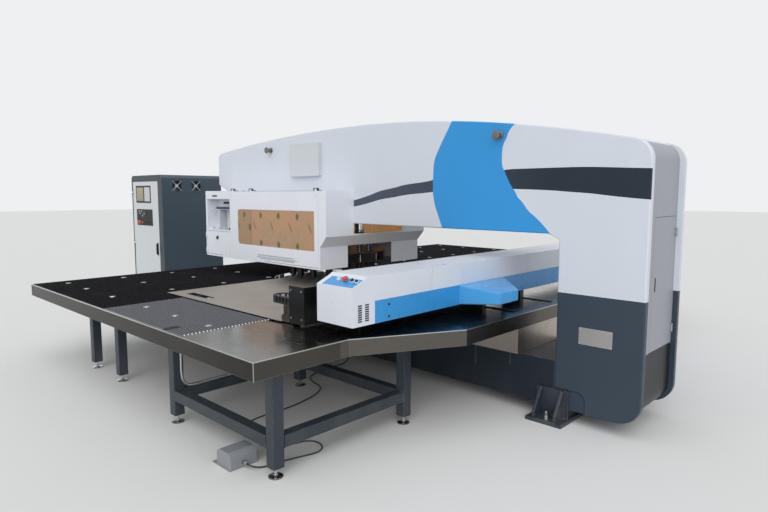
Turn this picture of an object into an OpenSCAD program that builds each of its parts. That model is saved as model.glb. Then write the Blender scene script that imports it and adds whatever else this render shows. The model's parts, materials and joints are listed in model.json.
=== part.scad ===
// Turret punch press: C-frame with an upper and a lower tool turret, a cross beam that carries the
// sheet clamps through the throat, brush tables on both sides, a control cabinet and a foot switch.
// Origin: middle of the anchor hole pattern, on the floor. X runs from the turret to the column,
// Y runs along the beam and Z is up. Sizes are in millimetres.

/* [C-frame] */
// Distance between the anchor holes along the frame
foot_span_x = 4000; // [3950:10:4050]
// Distance between the anchor holes across the frame
foot_span_y = 776; // [770:2:784]
// Width over the two side plates
frame_w = 718; // [690:2:740]
// Thickness of a side plate
plate_t = 50; // [40:1:60]
// Thickness of the sheet that closes the frame between the plates
skin_t = 20; // [10:1:30]
// How far the lower arm is set back from the face of the column
arm_setback = 15; // [8:1:25]
// Column face at the throat
column_x = 2015; // [1960:5:2060]
// Width of the column
column_w = 637; // [600:1:700]
// Underside of the upper arm
arm_z = 1413; // [1390:1:1440]
// Highest point of the upper arm
peak_z = 2371; // [2300:1:2420]
// Place of the highest point
peak_x = -135; // [-300:5:0]
// Nose of the upper arm
nose_x = -2715; // [-2800:5:-2650]
// Lower edge of the nose
nose_z = 1820; // [1780:1:1860]
// Where the sloping underside meets the level one
nose_run_x = -1685; // [-1750:5:-1600]
// Underside of the frame
frame_low_z = 100; // [80:1:120]
// Top of the lower arm
lower_arm_z = 453; // [440:1:470]
// Free end of the lower arm
lower_arm_x = -2350; // [-2450:5:-2300]
// Radius of the upper column corner
top_r = 150; // [100:1:200]
// Radius of the lower column corner
low_r = 170; // [120:1:220]
// Depth of the recessed end wall
end_recess = 37; // [20:1:50]
// Anchor hole radius
anchor_r = 13; // [10:1:14]
// Radius of the levelling screw next to each anchor hole
screw_r = 12; // [10:1:15]

/* [Turret] */
// Turret axis
turret_x = -935; // [-960:1:-910]
// Radius of a turret disc
turret_r = 600; // [580:1:620]
// Radius of the circle of tools
pitch_r = 450; // [430:1:470]
// Number of tool stations
stations = 16; // [12:1:18]
// Underside of the upper disc
upper_z = 985; // [975:1:1000]
// Thickness of a turret disc
disc_t = 100; // [80:1:110]
// Radius of a punch holder
punch_r = 38; // [30:1:42]
// Radius of a die
die_r = 45; // [38:1:50]
// Radius of the turret shaft
shaft_r = 80; // [60:1:100]
// Stroke of the ram
ram_stroke = 32; // [20:1:36]
// Radius of the ram
ram_r = 45; // [35:1:55]

/* [Hoods] */
// Left end of the hood
hood_x0 = -2420; // [-2460:5:-2380]
// Right end of the hood
hood_x1 = -185; // [-200:1:-150]
// How far a hood stands out from the side plate
hood_out = 367; // [350:1:400]
// Lower edge of the hood
hood_z0 = 967; // [940:1:970]
// Top of the hood
hood_z1 = 1740; // [1720:1:1760]
// Depth of the undercut at the right end
undercut = 93; // [70:1:95]
// Upper edge of the undercut
undercut_z1 = 1296; // [1280:1:1310]
// Lower edge of the undercut
undercut_z0 = 1189; // [1170:1:1200]
// Wall of the sheet covers
wall = 4; // [3:0.5:5]
// Left edge of the hinged hatch
hatch_x0 = -1862; // [-1880:1:-1850]
// Depth of the hatch tray
hatch_t = 25; // [20:1:30]

/* [Table] */
// Height of the steel table top
table_z = 769; // [762:1:772]
// Left edge of the table
table_x0 = -2755; // [-2800:5:-2700]
// Right edge of the table wings
table_x1 = 1315; // [1280:5:1350]
// Right edge of the middle section
centre_x1 = 1708; // [1690:1:1730]
// Reach of the near wing
table_near = 2555; // [2500:5:2600]
// Reach of the far wing
table_far = 4200; // [4150:5:4250]
// Where the right edge starts to slant outwards
corner_y = 1827; // [1780:1:1870]
// Where the slanting edge ends
taper_y = 1070; // [1000:1:1120]
// Depth of the apron
apron_h = 115; // [90:1:130]
// Right edge of the brush field
brush_x1 = 450; // [420:1:500]
// Height of the bristles over the steel
brush_h = 5; // [3:0.5:6]
// Distance between the ball rows
ball_pitch = 572; // [560:1:580]
// Width of a leg tube
leg_w = 80; // [60:1:90]
// Height of a levelling foot
level_h = 60; // [50:1:75]

/* [Beam] */
// Inner face of the beam
beam_x = 1065; // [1055:1:1080]
// Width of the beam
beam_w = 345; // [330:1:355]
// Near end of the beam, measured from the middle of the frame
beam_near = 1881; // [1850:1:1900]
// Far end of the beam, measured from the middle of the frame
beam_far = 2900; // [2850:5:2950]
// Underside of the beam covers
beam_z0 = 864; // [855:1:875]
// Top of the beam
beam_z1 = 1180; // [1165:1:1200]
// Line between the skirt and the white cover
skirt_z = 1014; // [1000:1:1030]
// Length of an end box
end_box_l = 202; // [190:1:220]
// Reach of the drive cover
pod_out = 374; // [340:1:390]
// Travel of the beam towards the turret
travel_in = 880; // [800:5:890]
// Travel of the beam towards the column
travel_out = 270; // [200:5:280]

/* [Carriage] */
// Length of the carriage
carriage_l = 2000; // [1900:10:2100]
// Width of the carriage cover
carriage_w = 340; // [320:1:345]
// Underside of the carriage
carriage_z0 = 790; // [786:1:800]
// Top of the carriage
carriage_z1 = 1060; // [1040:1:1075]
// Thickness of the clamped sheet
sheet_t = 2; // [1:0.5:3]
// Length of the clamped sheet along the beam
sheet_l = 2500; // [2300:10:2550]
// Width of the clamped sheet
sheet_w = 1780; // [1700:10:1840]
// Width of a clamp
clamp_w = 70; // [60:1:80]

/* [Cabinet] */
// Left side of the cabinet
cab_x = -4535; // [-4600:5:-4500]
// Width of the cabinet
cab_w = 950; // [900:5:1000]
// Front of the cabinet
cab_y = -714; // [-740:1:-690]
// Depth of the cabinet
cab_d = 900; // [850:5:950]
// Height of the cabinet
cab_h = 1964; // [1930:1:2000]
// Height of the plinth
plinth_h = 80; // [60:1:100]
// Radius of a fan
fan_r = 68; // [60:1:75]

/* [Foot switch] */
// Left side of the foot switch
switch_x = 780; // [760:5:800]
// Near side of the foot switch
switch_y = -2525; // [-2540:5:-2510]
// Length and width of the foot switch
switch_l = 205; // [190:1:220]
// Height of its guard
switch_h = 110; // [95:1:125]
// Radius of its cord
cord_r = 5; // [4:0.5:6]

/* [Hidden] */
$fn = 48;
white = [0.8, 0.82, 0.85];
slate = [0.2, 0.25, 0.29];
blue = [0.2, 0.5, 0.8];
steel = [0.65, 0.64, 0.62];
black = [0.06, 0.06, 0.07];
// Running clearance of shafts and buttons, and seat clearance of soft or resting pieces
run = 0.05;
seat = 0.3;
// Gap round doors and covers
gap = 3;
half_w = frame_w / 2;
web_w = half_w - plate_t;
column_end = column_x + column_w;
foot_x = foot_span_x / 2;
foot_y = foot_span_y / 2;
// Curvature of the arm's top on either side of its highest point
curve_left = 0.0000245;
curve_right = 0.0000405;
nose_r = 80;
throat_cut = [90, 40];
notch = [235, 150];
notch_r = 60;
punch_x = turret_x + pitch_r;
// Levels at the punching line
ball_top = table_z + 7;
lip_t = 4;
sheet_z = ball_top + 0.5 + lip_t;
die_top = sheet_z - 5;
guide_z = sheet_z + 20;
lower_top = die_top - 30;
spring_h = 150;
head_t = 16;
head_z = upper_z + disc_t + spring_h;
hood_y = half_w + hood_out;
split_y = 420;
hole_r = turret_r + 40;
top_t = 5;
rail_y = 300;
slot_w = 70;
rail_h = 22;
rail_foot = 40;
rail_base_z = table_z - 95;
beam_x1 = beam_x + beam_w;
cover_t = 4;
skirt_t = 7;
rail_t = 20;

// Points of an arc about (cx, cz), from angle a0 to a1
function arc(cx, cz, r, a0, a1, n) =
    [for (i = [0:n]) let (a = a0 + (a1 - a0) * i / n) [cx + r * cos(a), cz + r * sin(a)]];

// Height of the arm's top at x
function top_z(x) = peak_z - (x > peak_x ? curve_right : curve_left) * (x - peak_x) ^ 2;

// Top edge from the column corner to the nose, set in by i, ending at x = end
function top_edge(i, end, r) =
    let (cx = end - r, a = 90 - atan(2 * curve_right * (cx - peak_x)),
         cz = top_z(cx + r * cos(a)) - i - r * sin(a), x1 = cx + r * cos(a),
         x0 = nose_x + i + nose_r, n = 28)
    concat(arc(cx, cz, r, 0, a, 8),
        [for (k = [1:n - 1]) let (x = x1 + (x0 - x1) * k / n) [x, top_z(x) - i]],
        arc(x0, top_z(x0) - i - nose_r, nose_r, 94, 180, 6));

// Outline of the C-frame between the plates, set in by i
function web_outline(i, end) = concat(
    [[lower_arm_x + i, frame_low_z + i], [lower_arm_x + i, lower_arm_z - i],
     [column_x + i, lower_arm_z - i], [column_x + i, arm_z - throat_cut[1] + i / 2],
     [column_x - throat_cut[0] + i / 2, arm_z + i], [nose_run_x + i / 4, arm_z + i],
     [nose_x + i, nose_z + i]],
    [for (k = [len(top_edge(i, end - i, top_r)) - 1:-1:0]) top_edge(i, end - i, top_r)[k]],
    arc(end - i - low_r, frame_low_z + i + low_r, low_r, 0, -90, 8));

// Outline of a side plate's column and upper arm
function side_outline() = concat(
    [[nose_x, nose_z], [nose_run_x, arm_z], [column_x - throat_cut[0], arm_z],
     [column_x, arm_z - throat_cut[1]], [column_x, frame_low_z + notch[1]]],
    arc(column_x + notch[0] - notch_r, frame_low_z + notch[1] - notch_r, notch_r, 90, 0, 6),
    [[column_x + notch[0], frame_low_z]],
    arc(column_end - low_r, frame_low_z + low_r, low_r, -90, 0, 10),
    top_edge(0, column_end, top_r));

module block(x0, x1, y0, y1, z0, z1) {
    translate([x0, y0, z0]) cube([x1 - x0, y1 - y0, z1 - z0]);
}

// Extrudes an outline drawn in X and Z from y0 to y1
module xz_plate(points, y0, y1) {
    translate([0, y1, 0]) rotate([90, 0, 0]) linear_extrude(y1 - y0) polygon(points);
}

// Extrudes an outline drawn in Y and Z from x0 to x1
module yz_plate(points, x0, x1) {
    translate([x0, 0, 0]) rotate([90, 0, 90]) linear_extrude(x1 - x0) polygon(points);
}

module rod_x(x0, x1, y, z, r) {
    translate([x0, y, z]) rotate([0, 90, 0]) cylinder(h = x1 - x0, r = r);
}

module rod_y(y0, y1, x, z, r) {
    translate([x, y1, z]) rotate([90, 0, 0]) cylinder(h = y1 - y0, r = r);
}

module rod_z(z0, z1, x, y, r) {
    translate([x, y, z0]) cylinder(h = z1 - z0, r = r);
}

module tube_z(z0, z1, x, y, r, bore) {
    difference() {
        rod_z(z0, z1, x, y, r);
        rod_z(z0 - 1, z1 + 1, x, y, bore);
    }
}

module mirrored_y() {
    children();
    mirror([0, 1, 0]) children();
}

// Square tube with its length along one axis
module tube_leg(x, y, z0, z1) {
    t = 4;
    h = leg_w / 2;
    difference() {
        block(x - h, x + h, y - h, y + h, z0, z1);
        block(x - h + t, x + h - t, y - h + t, y + h - t, z0 + 6, z1 - t);
    }
}

// Door hinge. Its face lies in the plane y = 0 with the door on the +X side; the pin stands in front.
pin_r = 4;
hinge_r = 7.5;
hinge_off = 8;
leaf_l = 18;
leaf_t = 3.5;
knuckle_l = 30;
ear_l = 15;

module door_knuckle() {
    difference() {
        union() {
            rod_z(-knuckle_l / 2, knuckle_l / 2, 0, -hinge_off, hinge_r);
            block(0, leaf_l, -leaf_t, 0, -knuckle_l / 2, knuckle_l / 2);
        }
        rod_z(-knuckle_l, knuckle_l, 0, -hinge_off, pin_r + run);
    }
}

module door_pin() {
    for (s = [-1, 1]) {
        z0 = s > 0 ? knuckle_l / 2 + 0.5 : -knuckle_l / 2 - 0.5 - ear_l;
        rod_z(z0, z0 + ear_l, 0, -hinge_off, hinge_r);
        block(-leaf_l, 0, -leaf_t, 0, z0, z0 + ear_l);
    }
    rod_z(-knuckle_l / 2 - 1, knuckle_l / 2 + 1, 0, -hinge_off, pin_r);
}

// C-frame

module side_plate() {
    xz_plate(side_outline(), -half_w, -web_w);
    block(lower_arm_x, column_x + notch[0] + 10, -half_w + arm_setback, -web_w,
        frame_low_z, lower_arm_z);
}

module side_plate_near() {
    color(white) side_plate();
}

module side_plate_far() {
    color(white) mirror([0, 1, 0]) side_plate();
}

end_wall_x = column_end - end_recess;
door_y = [-150, 290];
door_z = [585, 1549];
door_t = 18;
door_hinge_zs = [door_z[0] + 120, door_z[1] - 120];

// Turns a hinge so that it sits on the end wall with the door towards -Y
module on_end_wall(z) {
    translate([end_wall_x, door_y[1] - gap / 2, z]) rotate([0, 0, 90]) mirror([1, 0, 0]) children();
}

module frame_web() {
    cylinder_room = cylinder_r + run;
    color(white) difference() {
        xz_plate(web_outline(0, end_wall_x), -web_w, web_w);
        xz_plate(web_outline(skin_t, end_wall_x), -web_w - 1, web_w + 1);
        rod_z(arm_z - 1, arm_z + skin_t + 1, punch_x, 0, cylinder_room);
        block(end_wall_x - skin_t - 1, end_wall_x + 1, door_y[0], door_y[1], door_z[0], door_z[1]);
    }
    color(white) for (z = door_hinge_zs) {
        on_end_wall(z) door_pin();
    }
}

module end_door() {
    slot_y = door_y[0] + 60;
    slot_z = [1020, 1120];
    color(white) difference() {
        block(end_wall_x - door_t, end_wall_x, door_y[0] + gap, door_y[1] - gap,
            door_z[0] + gap, door_z[1] - gap);
        block(end_wall_x - door_t - 1, end_wall_x - wall, door_y[0] + gap + wall,
            door_y[1] - gap - wall, door_z[0] + gap + wall, door_z[1] - gap - wall);
        block(end_wall_x - 12, end_wall_x + 1, slot_y - 11, slot_y + 11, slot_z[0], slot_z[1]);
    }
    color(black) difference() {
        block(end_wall_x - door_t, end_wall_x - 1, slot_y - 11, slot_y + 11, slot_z[0], slot_z[1]);
        block(end_wall_x - 12, end_wall_x, slot_y - 6, slot_y + 6, slot_z[0] + 6, slot_z[1] - 6);
    }
    color(white) for (z = door_hinge_zs) {
        on_end_wall(z) door_knuckle();
    }
}

box_wall = 4;
throat_x = [500, centre_x1 - 5];
throat_y = half_w + 18;

module throat_box() {
    color(steel) difference() {
        block(throat_x[0], throat_x[1], -throat_y, throat_y, lower_arm_z, table_z - top_t);
        block(throat_x[0] + box_wall, throat_x[1] - box_wall, -throat_y + box_wall,
            throat_y - box_wall, lower_arm_z + box_wall, table_z);
        for (y = [-rail_y, rail_y]) {
            block(throat_x[0] - 1, throat_x[0] + box_wall + 1, y - slot_w / 2, y + slot_w / 2,
                rail_base_z - rail_foot - 1, table_z);
        }
    }
}

foot_w = 290;
base_t = 30;
bracket_out = foot_y + 112;
screw_y = foot_y + 57;

module foot_bracket() {
    back_y = -half_w + arm_setback;
    back_t = arm_setback;
    rib_t = 22;
    rib_h = 140;
    difference() {
        block(-foot_w / 2, foot_w / 2, -bracket_out, -80, 0, base_t);
        rod_z(-1, base_t + 1, 0, -foot_y, anchor_r);
        rod_z(-1, base_t + 1, 0, -screw_y, screw_r + run);
    }
    block(-foot_w / 2 + 35, foot_w / 2 - 35, back_y, -120, base_t, frame_low_z);
    block(-foot_w / 2 + 15, foot_w / 2 - 15, back_y - back_t, back_y, base_t, frame_low_z + rib_h);
    for (x = [-86, 86]) {
        yz_plate([[back_y - back_t, base_t], [back_y - back_t, frame_low_z + rib_h],
            [back_y - back_t - 20, frame_low_z + rib_h], [-bracket_out + 12, base_t + 45],
            [-bracket_out + 12, base_t]], x - rib_t / 2, x + rib_t / 2);
    }
}

module foot_brackets() {
    color(slate) for (x = [-foot_x, foot_x]) {
        translate([x, 0, 0]) mirrored_y() foot_bracket();
    }
}

module levelling_screws() {
    color(steel) for (x = [-foot_x, foot_x], y = [-screw_y, screw_y]) {
        translate([x, y, 0]) union() {
            cylinder(h = base_t + 55, r = screw_r);
            translate([0, 0, base_t]) cylinder(h = 4, r = screw_r * 2);
            translate([0, 0, base_t + 4]) cylinder(h = screw_r * 1.6, r = screw_r * 1.75, $fn = 6);
        }
    }
}

box_x = [-1154, -670];
box_z = [1893, 2240];
box_d = 45;

module junction_box() {
    y = -half_w;
    color(white) union() {
        block(box_x[0] + 6, box_x[1] - 6, y - box_d + 8, y, box_z[0] + 6, box_z[1] - 6);
        block(box_x[0], box_x[1], y - box_d, y - box_d + 8, box_z[0], box_z[1]);
    }
    color(steel) for (x = [box_x[0] + 20, box_x[1] - 20], z = [box_z[0] + 20, box_z[1] - 20]) {
        rod_y(y - box_d - 3, y - box_d, x, z, 7);
    }
}

module lifting_knobs() {
    color(steel) mirrored_y() for (p = [[-1565, 2200], [1488, 2165]]) {
        union() {
            rod_y(-half_w - 12, -half_w, p[0], p[1], 34);
            rod_y(-half_w - 60, -half_w - 12, p[0], p[1], 20);
            rod_y(-half_w - 72, -half_w - 60, p[0], p[1], 30);
        }
    }
}

plate_x = [2193, 2440];
plate_z = [622, 746];

module nameplate() {
    t = 3;
    color(steel) union() {
        block(plate_x[0], plate_x[1], -half_w - t, -half_w, plate_z[0], plate_z[1]);
        for (x = [plate_x[0] + 12, plate_x[1] - 12], z = [plate_z[0] + 12, plate_z[1] - 12]) {
            rod_y(-half_w - t - 2, -half_w - t, x, z, 4);
        }
    }
}

// Turret hoods

hatch_x1 = hood_x1 - 115;
hatch_z = [hood_z0 + 18, hood_z1 - 5];
window_x = [-1715, -365];
window_z = [1145, 1535];
window_r = 45;
pocket_x = [hood_x0 + 41, hatch_x0 - 18];
pocket_z = [1285, 1645];
pocket_d = 150;
air_door_z = [hood_z0 + 18, pocket_z[0] - 17];
hinge_axis = [-(hood_y - 4), hood_z1 + 11];
hinge_xs = [-1800, -1440, -330];
air_hinge_zs = [air_door_z[0] + 50, air_door_z[1] - 50];
pull_x = [-1347, -640];
pull_z = [1002, 1052];

// Right-hand outline of a hood in X and Z, set in by i
function hood_outline(i) = [[hood_x0 + i, hood_z0 - (i > 0 ? 1 : 0)],
    [hood_x1 - undercut - i, hood_z0 - (i > 0 ? 1 : 0)],
    [hood_x1 - undercut - i, undercut_z0 - i / 4], [hood_x1 - i, undercut_z1 - i / 4],
    [hood_x1 - i, hood_z1 - i], [hood_x0 + i, hood_z1 - i]];

module hood_shell() {
    difference() {
        xz_plate(hood_outline(0), -hood_y, -half_w);
        xz_plate(hood_outline(wall), -hood_y + wall, -half_w + 1);
        block(hatch_x0, hatch_x1, -hood_y - 1, -hood_y + wall + 1, hatch_z[0] - gap, hatch_z[1] + 2);
    }
}

// Rounded on the left like the protective film, square on the right
function window_outline(i) = concat(
    [[window_x[1] + i, window_z[0] - i], [window_x[1] + i, window_z[1] + i]],
    arc(window_x[0] + window_r, window_z[1] - window_r, window_r + i, 90, 180, 6),
    arc(window_x[0] + window_r, window_z[0] + window_r, window_r + i, 180, 270, 6));

module hood_near() {
    color(white) difference() {
        union() {
            hood_shell();
            block(pocket_x[0] - wall, pocket_x[1] + wall, -hood_y + wall, -hood_y + pocket_d + wall,
                pocket_z[0] - wall, pocket_z[1] + wall);
        }
        block(pocket_x[0], pocket_x[1], -hood_y - 1, -hood_y + pocket_d, pocket_z[0], pocket_z[1]);
        block(hood_x0 + 20, hatch_x0 - 18, -hood_y - 1, -hood_y + wall + 1,
            air_door_z[0], air_door_z[1]);
        block(hood_x0 + 160, hood_x0 + 273, -hood_y - 1, -hood_y + wall + 1, 1672, 1690);
    }
    color(white) for (z = air_hinge_zs) {
        translate([hood_x0 + 20 + gap / 2, -hood_y, z]) door_pin();
    }
}

module hood_far() {
    inner_y = 289;
    t = wall;
    color(white) union() {
        mirror([0, 1, 0]) hood_shell();
        block(hood_x1 - undercut - t, hood_x1 - undercut, inner_y, half_w, hood_z0, undercut_z0);
        xz_plate([[hood_x1 - undercut - t, undercut_z0 - 1], [hood_x1 - undercut, undercut_z0],
            [hood_x1, undercut_z1], [hood_x1, undercut_z1 + 14], [hood_x1 - t, undercut_z1 + 14],
            [hood_x1 - t, undercut_z1 - 1]], -half_w, half_w);
    }
}

module air_unit() {
    y0 = -hood_y + 8;
    y1 = -hood_y + pocket_d;
    shelf_z = 1522;
    split_x = pocket_x[0] + 235;
    color(white) union() {
        block(pocket_x[0] + 60, pocket_x[1], y0, y1, shelf_z, shelf_z + 6);
        block(split_x, split_x + 5, y0, y1, pocket_z[0], shelf_z);
    }
    color(black) block(pocket_x[1] - 170, pocket_x[1], y1 - 70, y1, 1590, 1615);
    color(blue) rod_x(pocket_x[1] - 330, pocket_x[1], y1 - 110, shelf_z + 6 + 14, 14);
    color(black) for (k = [0:3]) {
        x = pocket_x[0] + 80 + k * 118;
        union() {
            rod_z(pocket_z[0], pocket_z[0] + 16, x, y0 + 32, 9);
            rod_z(pocket_z[0] + 16, pocket_z[0] + 30, x, y0 + 32, 14);
        }
    }
    color(steel) for (x = [pocket_x[0] + 160, pocket_x[0] + 330]) {
        union() {
            rod_z(pocket_z[0], shelf_z, x, y1 - 50, 26);
            rod_z(pocket_z[0] + 60, pocket_z[0] + 80, x, y1 - 50, 32);
        }
    }
}

module air_door() {
    x0 = hood_x0 + 20 + gap;
    x1 = hatch_x0 - 18 - gap;
    t = 12;
    lock_x = -2152;
    lock_z = 1197;
    color(white) difference() {
        block(x0, x1, -hood_y, -hood_y + t, air_door_z[0] + gap, air_door_z[1] - gap);
        block(x0 + wall, x1 - wall, -hood_y + wall, -hood_y + t + 1,
            air_door_z[0] + gap + wall, air_door_z[1] - gap - wall);
    }
    color(black) union() {
        rod_y(-hood_y - 6, -hood_y, lock_x, lock_z, 16);
        block(lock_x - 5, lock_x + 5, -hood_y - 20, -hood_y - 6, lock_z - 24, lock_z + 10);
    }
    color(white) for (z = air_hinge_zs) {
        translate([x0 - gap / 2, -hood_y, z]) door_knuckle();
    }
}

knuckle_r = 9;

module hood_hinge_set() {
    for (x = hinge_xs) {
        color(black) union() {
            for (s = [-1, 1]) {
                x0 = x + (s > 0 ? knuckle_l / 2 + 0.5 : -knuckle_l / 2 - 20.5);
                rod_x(x0, x0 + 20, hinge_axis[0], hinge_axis[1], knuckle_r);
                block(x0, x0 + 20, hinge_axis[0], hinge_axis[0] + 40, hood_z1, hood_z1 + 6);
                block(x0, x0 + 20, hinge_axis[0] - 4, hinge_axis[0] + 8, hood_z1, hinge_axis[1]);
            }
            rod_x(x - knuckle_l / 2 - 1, x + knuckle_l / 2 + 1, hinge_axis[0], hinge_axis[1], pin_r);
        }
    }
}

module hood_hinges() {
    mirrored_y() hood_hinge_set();
}

module hatch() {
    difference() {
        union() {
            block(hatch_x0 + gap, hatch_x1 - gap, -hood_y, -hood_y + hatch_t, hatch_z[0], hatch_z[1]);
            for (x = hinge_xs) {
                block(x - knuckle_l / 2, x + knuckle_l / 2, -hood_y - 5, -hood_y,
                    hatch_z[1] - 45, hinge_axis[1]);
                rod_x(x - knuckle_l / 2, x + knuckle_l / 2, hinge_axis[0], hinge_axis[1], knuckle_r);
            }
        }
        block(hatch_x0 + gap + wall, hatch_x1 - gap - wall, -hood_y + wall, -hood_y + hatch_t + 1,
            hatch_z[0] + 90, hatch_z[1] - wall);
        xz_plate(window_outline(0), -hood_y - 1, -hood_y + hatch_t);
        block(pull_x[0], pull_x[1], -hood_y - 1, -hood_y + hatch_t - 6, pull_z[0], pull_z[1]);
        for (x = hinge_xs) {
            rod_x(x - knuckle_l, x + knuckle_l, hinge_axis[0], hinge_axis[1], pin_r + run);
        }
    }
    difference() {
        union() {
            block(pull_x[0], pull_x[1], -hood_y + 2, -hood_y + 6, pull_z[1] - 20, pull_z[1]);
            block(pull_x[0], pull_x[1], -hood_y + 6, -hood_y + hatch_t - 6, pull_z[1] - 4, pull_z[1]);
        }
    }
}

module window_pane() {
    lap = 18;
    xz_plate(window_outline(lap), -hood_y + wall, -hood_y + wall + 5);
}

module hatch_near() {
    color(white) hatch();
}

module window_near() {
    color([0.66, 0.53, 0.38]) window_pane();
}

module hatch_far() {
    color(white) mirror([0, 1, 0]) hatch();
}

module window_far() {
    color([0.66, 0.53, 0.38]) mirror([0, 1, 0]) window_pane();
}

// Turret and ram

cylinder_r = 110;
housing_r = 150;
housing_h = 90;
station_angle = 360 / stations;

module turret_housings() {
    color(slate) tube_z(arm_z - housing_h, arm_z, turret_x, 0, housing_r, shaft_r + run);
    color(slate) tube_z(lower_arm_z, lower_arm_z + housing_h, turret_x, 0, housing_r, shaft_r + run);
    color(black) union() {
        block(turret_x - 440, turret_x - 220, -90, 90, arm_z - 125, arm_z);
        rod_z(arm_z - 155, arm_z - 125, turret_x - 330, 0, 55);
    }
}

module at_stations() {
    for (k = [0:stations - 1]) {
        translate([turret_x, 0, 0]) rotate([0, 0, k * station_angle]) translate([pitch_r, 0, 0])
            children();
    }
}

module upper_turret() {
    color(steel) difference() {
        union() {
            rod_z(upper_z, upper_z + disc_t, turret_x, 0, turret_r);
            rod_z(upper_z + disc_t, arm_z - 5, turret_x, 0, shaft_r);
            rod_z(upper_z + disc_t, upper_z + disc_t + 60, turret_x, 0, shaft_r + 70);
        }
        at_stations() translate([0, 0, upper_z - 1]) cylinder(h = disc_t + 2, r = punch_r + run);
    }
}

module punches() {
    color([0.3, 0.3, 0.32]) at_stations() union() {
        translate([0, 0, guide_z]) cylinder(h = upper_z + disc_t - guide_z, r = punch_r);
        translate([0, 0, upper_z + disc_t]) cylinder(h = spring_h, r = 14);
        translate([0, 0, head_z]) cylinder(h = head_t, r = punch_r - 4);
    }
}

// Ring of turns round a punch stem
function coil_outline(turns, r0, r1, h) = concat([[r0, h], [r0, 0]],
    [for (k = [0:turns * 4]) [r1 - (k % 4 == 0 ? 7 : k % 4 == 2 ? 0 : 2), h * k / (turns * 4)]]);

module punch_springs() {
    color(blue) at_stations() translate([0, 0, upper_z + disc_t])
        rotate_extrude($fn = 24) polygon(coil_outline(6, 14 + run, 30, spring_h));
}

module lower_turret() {
    color(steel) difference() {
        union() {
            rod_z(lower_top - disc_t, lower_top, turret_x, 0, turret_r);
            rod_z(lower_arm_z + 3, lower_top - disc_t, turret_x, 0, shaft_r);
        }
        at_stations() translate([0, 0, lower_top - disc_t - 1]) cylinder(h = disc_t + 2, r = 22);
    }
}

module dies() {
    color([0.35, 0.35, 0.36]) at_stations() difference() {
        translate([0, 0, lower_top]) cylinder(h = die_top - lower_top, r = die_r);
        translate([0, 0, lower_top - 1]) cylinder(h = die_top - lower_top + 2, r = 14);
    }
}

ram_low = head_z + head_t + ram_stroke + 4;
cylinder_z = [arm_z - 20, arm_z + 420];

module ram_cylinder() {
    color(steel) difference() {
        union() {
            rod_z(cylinder_z[0], cylinder_z[1], punch_x, 0, cylinder_r);
            rod_z(arm_z + skin_t, arm_z + skin_t + 30, punch_x, 0, cylinder_r + 40);
        }
        rod_z(cylinder_z[0] - 1, cylinder_z[1] - 60, punch_x, 0, ram_r + run);
    }
}

module ram() {
    color(steel) union() {
        rod_z(ram_low, cylinder_z[0] + 250, punch_x, 0, ram_r);
        rod_z(ram_low, ram_low + 25, punch_x, 0, ram_r + 10);
    }
}

// Tables

// Plan of one wing from the middle section outwards, set in by i; reach is the wing's end
function wing_plan(i, reach) = [[table_x0 + i, split_y - i], [table_x0 + i, reach - i],
    [table_x1 - i, reach - i], [table_x1 - i, corner_y], [centre_x1 - i, taper_y],
    [centre_x1 - i, split_y - i]];

ball_xs = [-2545, -2030, -1390, -685, -185, 315];
ball_y0 = -(table_near - 290);
ball_rows = floor((table_near + table_far - 400) / ball_pitch);
ball_r = 12.7;
cup_r = 15.7;
// Rows of ball units that stand clear of the middle section and the turret
ball_spots = [for (x = ball_xs, k = [0:ball_rows]) let (y = ball_y0 + k * ball_pitch)
    if (abs(y) > split_y + 60 && norm([x - turret_x, y]) > hole_r + 50) [x, y]];

module wing(reach, spots) {
    difference() {
        translate([0, 0, table_z - apron_h]) linear_extrude(apron_h) polygon(wing_plan(0, reach));
        translate([0, 0, table_z - apron_h - 1]) linear_extrude(apron_h - top_t + 1)
            polygon(wing_plan(wall, reach));
        rod_z(table_z - apron_h - 1, table_z + 1, turret_x, 0, hole_r);
        for (p = spots) {
            rod_z(table_z - top_t - 1, table_z + 1, p[0], p[1], cup_r + seat);
        }
    }
}

module table_near() {
    color(steel) mirror([0, 1, 0]) wing(table_near, [for (p = ball_spots) if (p[1] < 0) [p[0], -p[1]]]);
}

module table_far() {
    color(steel) wing(table_far, [for (p = ball_spots) if (p[1] > 0) p]);
}

slot_x = [beam_x + 75 - travel_in - 30, beam_x1 - 75 + travel_out + 30];

module table_centre() {
    color(steel) difference() {
        block(table_x0, centre_x1, -split_y, split_y, table_z - apron_h, table_z);
        block(table_x0 + wall, centre_x1 - wall, -split_y - 1, split_y + 1,
            table_z - apron_h - 1, table_z - top_t);
        rod_z(table_z - apron_h - 1, table_z + 1, turret_x, 0, hole_r);
        for (y = [-rail_y, rail_y]) {
            block(slot_x[0], slot_x[1], y - slot_w / 2, y + slot_w / 2, table_z - top_t - 1,
                table_z + 1);
        }
    }
}

brush_in = 16;

module brush_field() {
    color(black) difference() {
        block(table_x0 + brush_in, brush_x1, -table_near + brush_in, table_far - brush_in,
            table_z, table_z + brush_h);
        rod_z(table_z - 1, table_z + brush_h + 1, turret_x, 0, hole_r);
        for (p = ball_spots) {
            rod_z(table_z - 1, table_z + brush_h + 1, p[0], p[1], 31);
        }
        for (y = [-rail_y, rail_y]) {
            block(slot_x[0], brush_x1 + 1, y - slot_w / 2, y + slot_w / 2, table_z - 1,
                table_z + brush_h + 1);
        }
    }
}

module ball_units() {
    ball_z = ball_top - ball_r;
    color(steel) for (p = ball_spots) {
        translate([p[0], p[1], 0]) {
            difference() {
                union() {
                    translate([0, 0, table_z - 28]) cylinder(h = 28, r = cup_r, $fn = 24);
                    translate([0, 0, table_z]) cylinder(h = 4, r = 27, $fn = 24);
                }
                translate([0, 0, ball_z]) sphere(r = ball_r + 0.2, $fn = 24);
            }
            translate([0, 0, ball_z]) sphere(r = ball_r, $fn = 24);
        }
    }
}

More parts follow.
